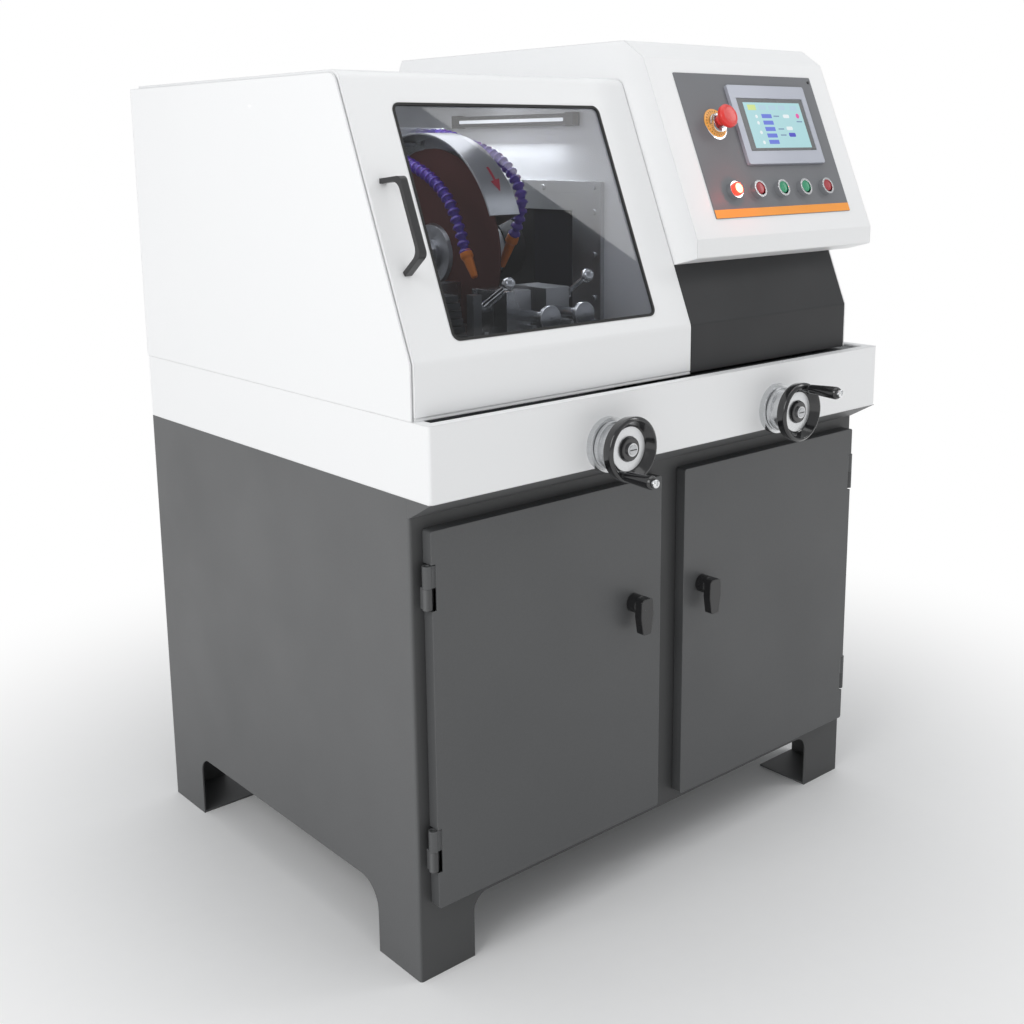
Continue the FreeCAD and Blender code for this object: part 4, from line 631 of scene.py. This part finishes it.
def make_handwheel(side, feed, grip_joint):
    """Dished black wheel with its silver ring, slotted screw, and the turned grip on its pin."""
    hub = joint_place(feed)
    body = side + "_feed"
    axis_point = Vector((hub.x, 0, hub.z))
    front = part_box(side + "_grip")[0].y
    shift = front / MM - GRIP_FRONT
    move = Vector((0, shift * MM, 0))
    y = (0, 1, 0)
    wheel = lathe(side + "_wheel_rim", RIM, axis_point + move, y, LOOKS["wheel_black"], body,
                  closed=True)
    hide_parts(side + "_handwheel")
    lathe(side + "_wheel_ring", [(19.2, -94.9), (19.2, -96.2, 0.3), (33.6, -96.2, 0.3),
                                 (33.6, -94.9)],
          axis_point + move, y, LOOKS["aluminium"], body, closed=True)
    lathe(side + "_wheel_screw", [(0, -101), (8, -101), (8, -106, 0.8), (0, -106)],
          axis_point + move, y, LOOKS["steel"], body)
    # The slot is a near-black plate on the flat screw face: painted shade standing in for a recess.
    slot_loop = rounded_rectangle(-7, -0.8, 7, 0.8, 0.3)
    slabs(side + "_wheel_slot", [slot_loop],
          lambda u, v, h: axis_point + move + Vector((u, h, v)) * MM, -106.15, -105, DARK_TICKS_AND_SLOT_SHADE,
          body)
    spot = joint_place(grip_joint)
    spot = Vector((spot.x, 0, spot.z))
    lathe(side + "_grip_boss", [(0, -96), (6, -96), (6, -111.3, 0.8), (0, -111.3)],
          spot + move, y, LOOKS["wheel_black"], body)
    lathe(side + "_grip_pin", [(0, -110), (3.9, -110), (3.9, -168.4), (6.4, -168.4, 0.5),
                               (6.4, -173.5, 1.4), (2.4, -175, 0.3), (1.9, -173, 0.3), (0, -173)],
          spot + move, y, LOOKS["chrome_trim"], body)
    grip = lathe(side + "_wheel_grip", GRIP, spot + move, y, LOOKS["wheel_black"],
                 side + "_grip", closed=True)
    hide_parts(side + "_grip")


def make_clamp_screw(side):
    """Turned clamp screw: a faced disc with a small centre hole on its rod."""
    low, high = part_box(side + "_clamp_screw")
    centre = Vector(((low.x + high.x) / 2, low.y, (low.z + high.z) / 2))
    long = (high.y - low.y) / MM
    profile = [(0, 3), (2.4, 3), (2.4, 0, 0.3), (3.4, 0, 0.2), (19.9, 0, 0.9), (19.9, 8, 0.9),
               (9, 8, 0.3), (9, long), (0, long)]
    screw = lathe(side + "_screw_turning", profile, centre, (0, 1, 0), LOOKS["steel_turned"],
                  side + "_screw")
    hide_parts(side + "_clamp_screw")


# ---------------------------------------------------------------- control panel

PRESS = Vector(JOINTS["estop_press"]["axis"]).normalized()
OUT = -PRESS
DOWN = Vector((0, -OUT.z, OUT.y))
PLATE_HALF = 0.75  # half the panel plate's thickness


def face_origin(node):
    """Centre of a button's box moved along its axis to the panel plate's outer face."""
    plate = middle("control_panel")
    point = middle(node)
    return point + OUT * ((plate - point).dot(OUT) + PLATE_HALF * MM)


def panel_place(x, s):
    """Plate coordinates (u across, v down, h out, in millimetres) about a point of the plate."""
    centre = middle("control_panel") + Vector((x * MM, 0, 0)) + DOWN * (s * MM)

    def place(u, v, h):
        return centre + Vector((u * MM, 0, 0)) + DOWN * (v * MM) + OUT * ((h + PLATE_HALF) * MM)

    return place


def make_buttons():
    """Flush caps with softened rims, and the lit lamp's lens."""
    for name, node, body, slot in (
            ("left_red_cap", "left_red_button", "button_a", "button_red"),
            ("left_green_cap", "left_green_button", "button_b", "button_green"),
            ("right_green_cap", "right_green_button", "button_c", "button_green"),
            ("right_red_cap", "right_red_button", "button_d", "button_red")):
        cap = lathe(name, [(0, -31), (4.9, -31), (4.9, 4.3), (10.9, 4.3), (10.9, 8.6, 1.2),
                           (9.2, 9.4, 0.6), (8.6, 8.9, 0.4), (0, 8.6)],
                    face_origin(node), OUT, LOOKS[slot], body)
        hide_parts(node)
    lens = lathe("pilot_lens", [(0, -40), (10.3, -40), (10.3, 0.1), (11.3, 0.1), (11.3, 12.6, 1),
                                (11.3, 14.4, 1.2), (8.5, 15.4, 2), (0, 15.5)],
                 face_origin("pilot_lamp"), OUT, LIT_RED, "machine_frame")
    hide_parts("pilot_lamp")
    lathe("pilot_core", [(0, 15.3), (8.3, 15.3, 0.2), (8.3, 15.7, 0.2), (0, 15.7)],
          face_origin("pilot_lamp"), OUT, LIT_CORE, "machine_frame")
    halo = bpy.data.lights.new("lamp_halo", "POINT")
    halo.energy = 0.05
    halo.color = (1, 0.05, 0.02)
    halo.shadow_soft_size = 0.004
    glow = bpy.data.objects.new("lamp_halo", halo)
    glow.location = face_origin("pilot_lamp") + OUT * 22 * MM
    bpy.context.scene.collection.objects.link(glow)
    head = lathe("estop_mushroom", [(0, -25), (8.9, -25), (8.9, 18.5), (12.9, 18.5), (12.9, 21),
                                    (17.2, 23, 1.5), (19.8, 27, 2), (19.9, 32.5, 3.5),
                                    (15.5, 36.3, 3), (13, 35.4, 1), (0, 35.2)],
                 face_origin("estop_head"), OUT, LOOKS["estop_red"], "estop")
    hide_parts("estop_head")
    stop = face_origin("estop_head")
    lathe("estop_disc", [(15.2, 0.2), (15.2, 1.5, 0.2), (25.4, 1.5, 0.4), (25.4, 0.2)], stop, OUT,
          DISC_YELLOW, "machine_frame", closed=True)
    lathe("estop_collar", [(9.6, 1.4), (15.3, 1.4), (15.3, 5.2, 0.4), (14.2, 5.8), (14.2, 11.6, 1),
                           (9.6, 11.8)], stop, OUT, LOOKS["steel"], "machine_frame",
          closed=True)
    tick_count = 24
    ticks = [rounded_rectangle(-0.5, -22.4, 0.5, -19.4, 0.2)]
    centre_x = (stop.x - middle("control_panel").x) / MM
    centre_s = (stop - middle("control_panel")).dot(DOWN) / MM
    place = panel_place(centre_x, centre_s)
    for k in range(1, tick_count):
        a = 2 * math.pi * k / tick_count
        ticks.append([(u * math.cos(a) - v * math.sin(a), u * math.sin(a) + v * math.cos(a))
                      for u, v in ticks[0]])
    slabs("estop_ticks", ticks, place, 1.45, 1.6, DARK_TICKS_AND_SLOT_SHADE, "machine_frame")


def make_stripe_and_screws():
    low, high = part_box("control_panel")
    half_wide = (high.x - low.x) / 2 / MM
    half_tall = (Vector((0, high.y - low.y, high.z - low.z)).length / MM) / 2
    place = panel_place(0, 0)
    slabs("panel_stripe", [rounded_rectangle(-half_wide + 0.4, half_tall - 15.5,
                                             half_wide - 0.4, half_tall - 1.0, 0.8)],
          place, -0.3, 0.35, STRIPE, "machine_frame")
    corner = panel_place(half_wide - 8, -half_tall + 10)
    slabs("panel_screw", [disc_loop(0, 0, 2.6)], corner, -0.2, 1.4, LOOKS["lever_black"],
          "machine_frame")


def make_screen():
    """Dark surround, lit picture and its plain controls; no lettering."""
    low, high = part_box("touchscreen")
    plate = middle("control_panel")
    centre_x = ((low.x + high.x) / 2 - plate.x) / MM
    screen_s = -34.0
    place = panel_place(centre_x + 1, screen_s)
    deck = 5.0
    half_wide, half_tall = 89, 47.5
    slabs("screen_surround", [rounded_rectangle(-half_wide, -half_tall, half_wide, half_tall,
                                                1.5)],
          place, deck - 0.2, deck + 0.25, SCREEN_DARK, "machine_frame")
    wide, tall = 153.0, 83.0
    left, top = -74.5, -40.5

    def area(u0, v0, u1, v1, radius=0.6):
        return rounded_rectangle(left + u0 * wide, top + v0 * tall, left + u1 * wide,
                                 top + v1 * tall, radius)

    def dot(u, v, radius):
        return disc_loop(left + u * wide, top + v * tall, radius)

    rows = (0.30, 0.445, 0.585, 0.73, 0.87)
    layers = {
        "sky": [area(0, 0, 1, 1, 0.8)],
        "tab": [area(0.06, 0.05, 0.20, 0.17)],
        "tab_pale": [area(u, 0.06, u + 0.12, 0.16) for u in (0.26, 0.43, 0.60, 0.81)],
        "blue": [area(0.26, v - 0.045, 0.435, v + 0.045) for v in rows],
        "white": [dot(0.17, v, 3.3) for v in (0.31, 0.45, 0.66, 0.88)]
        + [area(0.64, v - 0.04, 0.75, v + 0.04, 2.5) for v in (0.30, 0.57)],
        "pink": [dot(0.907, 0.29, 4.6)],
        "deep": [area(0.65, 0.67, 0.77, 0.76, 2.5)],
        "ink": [area(u, v - 0.012, u + 0.1, v + 0.012, 0.4)
                for u, v in ((0.47, 0.30), (0.49, 0.585), (0.50, 0.72), (0.86, 0.42))],
    }
    for level, (key, loops) in enumerate(layers.items()):
        rise = deck + 0.3 + (0.1 if level else 0)
        slabs("screen_" + key, loops, place, rise - 0.1, rise, SCREEN[key], "machine_frame")


# ---------------------------------------------------------------- cutting chamber

HOSES = {
    "left": [(282, 438, 1224.5), (282, 416, 1203), (282, 352, 1184), (282, 291, 1158),
             (282, 243, 1112), (282, 221, 1051)],
    "right": [(384, 438, 1234.8), (384, 392, 1234), (384, 346, 1219), (384, 292, 1208),
              (384, 240, 1186), (384, 205, 1150), (384, 199, 1110), (384, 223, 1070)],
}
NOZZLES = {"left": (282, 198, 1012), "right": (384, 253, 1020)}
MACHINE_CORNER = Vector((510, 307.5, 0))
BEAD = [(5.6, 0), (6.0, 1.2), (8.8, 3.0), (10.2, 6.2), (10.3, 7.6), (9.6, 8.3), (8.6, 8.2),
        (7.6, 9.4), (6.3, 12.2), (5.6, 14.6)]
BEAD_PITCH = 13.6


def from_machine(x, y, z):
    return (Vector((x, y, z)) - MACHINE_CORNER) * MM


def smooth_route(points):
    """Points along the route's NURBS curve."""
    curve = bpy.data.curves.new("route", "CURVE")
    curve.dimensions = "3D"
    spline = curve.splines.new("NURBS")
    spline.points.add(len(points) - 1)
    for spot, point in zip(spline.points, points):
        spot.co = (*point, 1)
    spline.order_u = 3
    spline.use_endpoint_u = True
    spline.resolution_u = 24
    holder = bpy.data.objects.new("route", curve)
    mesh = bpy.data.meshes.new_from_object(holder)
    line = [v.co.copy() for v in mesh.vertices]
    bpy.data.objects.remove(holder)
    bpy.data.meshes.remove(mesh)
    bpy.data.curves.remove(curve)
    return line


def stations(line, pitch):
    """(point, direction) every pitch along the line."""
    found, travelled, wanted = [], 0.0, 0.0
    for first, second in zip(line, line[1:]):
        step = (second - first).length
        while step > 0 and wanted <= travelled + step:
            share = (wanted - travelled) / step
            found.append((first.lerp(second, share), (second - first).normalized()))
            wanted += pitch
        travelled += step
    return found


def make_hoses():
    for side, route in HOSES.items():
        line = smooth_route([from_machine(*p) for p in route])
        points, faces = [], []
        for place, heading in stations(line, BEAD_PITCH * MM):
            more, skins = lathe_parts(BEAD, place, heading, 28)
            faces += [tuple(i + len(points) for i in face) for face in skins]
            points += more
        hose = make_object(side + "_hose_beads", points, faces, LOOKS["hose_violet"],
                           "wheel_head", 50)
        if side == "left":
            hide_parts("coolant_hoses")
        base, tip = from_machine(*route[-1]), from_machine(*NOZZLES[side])
        long = (tip - base).length / MM
        profile = [(4.4, 2), (4.4, -1), (9.4, -1, 0.8), (10.3, 4, 1), (10.4, 10, 1),
                   (8.2, 14, 1.5), (5.4, long - 1, 0.5), (5.0, long), (3.2, long), (3.2, 20),
                   (4.4, 2)]
        nozzle = lathe(side + "_nozzle_tip", profile, base, tip - base, LOOKS["nozzle_orange"],
                       "wheel_head", smooth=50)
        weld(nozzle)
        if side == "left":
            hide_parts("coolant_nozzles")


def make_wheel():
    """Thin abrasive disc with a chipped, worn rim."""
    low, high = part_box("cutting_wheel")
    centre = (low + high) / 2
    outer = (high.z - low.z) / 2
    half = (high.x - low.x) / 2
    bore = 0.0152
    count = 360
    chips = [random.random() for _ in range(90)]
    points, faces = [], []
    for k in range(count):
        a = 2 * math.pi * k / count
        nick = chips[(k // 4) % len(chips)] * 0.9 + chips[(k // 11) % len(chips)] * 1.2
        rim = outer - nick * MM
        for radius, x in ((bore, -half), (rim, -half), (rim, half), (bore, half)):
            points.append(centre + Vector((x, radius * math.cos(a), radius * math.sin(a))))
    for k in range(count):
        n = (k + 1) % count
        for i in range(4):
            j = (i + 1) % 4
            faces.append((4 * k + i, 4 * k + j, 4 * n + j, 4 * n + i))
    wheel = make_object("abrasive_disc", points, faces, LOOKS["abrasive"], "spindle",
                        30)
    weld(wheel)
    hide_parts("cutting_wheel")


def make_arrow():
    """Red turning arrow on the guard's rim."""
    axis = joint_place("spindle_turn")
    radius = 200.1
    rim_middle = 4.5
    outline = [(-2.2, 133.6), (2.2, 133.6), (2.2, 141), (10, 140.6), (0.6, 147.5), (-9.5, 142),
               (-2.2, 141.5)]
    centre_x = axis.x + rim_middle * MM

    def place(u, angle, h):
        a = math.radians(angle)
        reach = (radius + h) * MM
        return Vector((centre_x + u * MM, axis.y + reach * math.cos(a),
                       axis.z + reach * math.sin(a)))

    fine = []
    for first, second in zip(outline, outline[1:] + outline[:1]):
        fine += [(first[0] + (second[0] - first[0]) * k / 6,
                  first[1] + (second[1] - first[1]) * k / 6) for k in range(6)]
    slabs("guard_arrow", [fine], place, 0, 0.35, ARROW_RED, "wheel_head")


def make_bellows():
    """Pleated skirts each side of the seal plate."""
    low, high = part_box("bellows")
    motor_to_front, plate_long, fold_pitch = 0.071, 0.117, 0.0095
    plate_front = joint_place("motor_turn").y - motor_to_front
    plate_rear = plate_front + plate_long
    skin = 0.0012
    for name, start, end in (("front_bellows", low.y, plate_front),
                             ("rear_bellows", plate_rear, high.y)):
        folds = max(6, round(abs(end - start) / fold_pitch))
        step = (end - start) / folds
        points, faces = [], []
        for i in range(folds + 1):
            x = low.x + 0.0008 if i % 2 else high.x - 0.0022
            y = start + step * i
            for z in (low.z + 0.001, high.z - 0.001):
                points += [Vector((x, y, z)), Vector((x + skin, y, z))]
        for i in range(folds):
            a, b = 4 * i, 4 * i + 4
            faces += [(a, b, b + 2, a + 2), (a + 1, a + 3, b + 3, b + 1),
                      (a, a + 1, b + 1, b), (a + 2, b + 2, b + 3, a + 3)]
        last = 4 * folds
        faces += [(0, 2, 3, 1), (last, last + 1, last + 3, last + 2)]
        mesh = bpy.data.meshes.new(name)
        mesh.from_pydata([tuple(p) for p in points], [], faces)
        mesh.validate()
        mesh.materials.append(LOOKS["bellows_black"])
        skirt = bpy.data.objects.new(name, mesh)
        bpy.context.scene.collection.objects.link(skirt)
        weld(skirt)
        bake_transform(skirt)
        if name == "front_bellows":
            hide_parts("bellows")


def make_foot_seal():
    """Pale lip on the tray that the hood cover's foot closes on."""
    cover_low, cover_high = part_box("cover_panel")
    tray_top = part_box("bed_tray")[1].z / MM
    front, foot = cover_low.y / MM, cover_low.z / MM
    outline = [(front + 0.4, tray_top), (front + 0.8, foot - 1.4), (front + 2, foot - 0.4),
               (front + 8, foot - 0.4), (front + 9, foot - 1.4), (front + 9.4, tray_top)]
    slabs("foot_seal", [outline], lambda u, v, h: Vector((h, u, v)) * MM, cover_low.x / MM,
          cover_high.x / MM, LOOKS["white_paint"], "machine_frame")


def make_lamp_strip():
    """Lit diffuser on the chamber lamp's dark case."""
    low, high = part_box("chamber_lamp")
    face = low.x - 0.0001
    end_gap, lower, upper = 24, 8, 14
    loop = rounded_rectangle(low.y / MM + end_gap, low.z / MM + lower, high.y / MM - end_gap,
                             low.z / MM + upper, 1.5)
    slabs("lamp_diffuser", [loop], lambda u, v, h: Vector((face - h * MM, u * MM, v * MM)),
          -0.5, 0.6, LIT_BAR, "machine_frame")


make_camera()
make_world()
make_floor()
make_reflector()
make_lights()
dress_frame()
make_handwheel("left", "left_feed_turn", "left_grip_spin")
make_handwheel("right", "right_feed_turn", "right_grip_spin")
make_clamp_screw("left")
make_clamp_screw("right")
make_buttons()
make_stripe_and_screws()
make_screen()
make_hoses()
make_wheel()
make_arrow()
make_bellows()
make_lamp_strip()
make_foot_seal()
bpy.context.scene.view_settings.view_transform = "Standard"
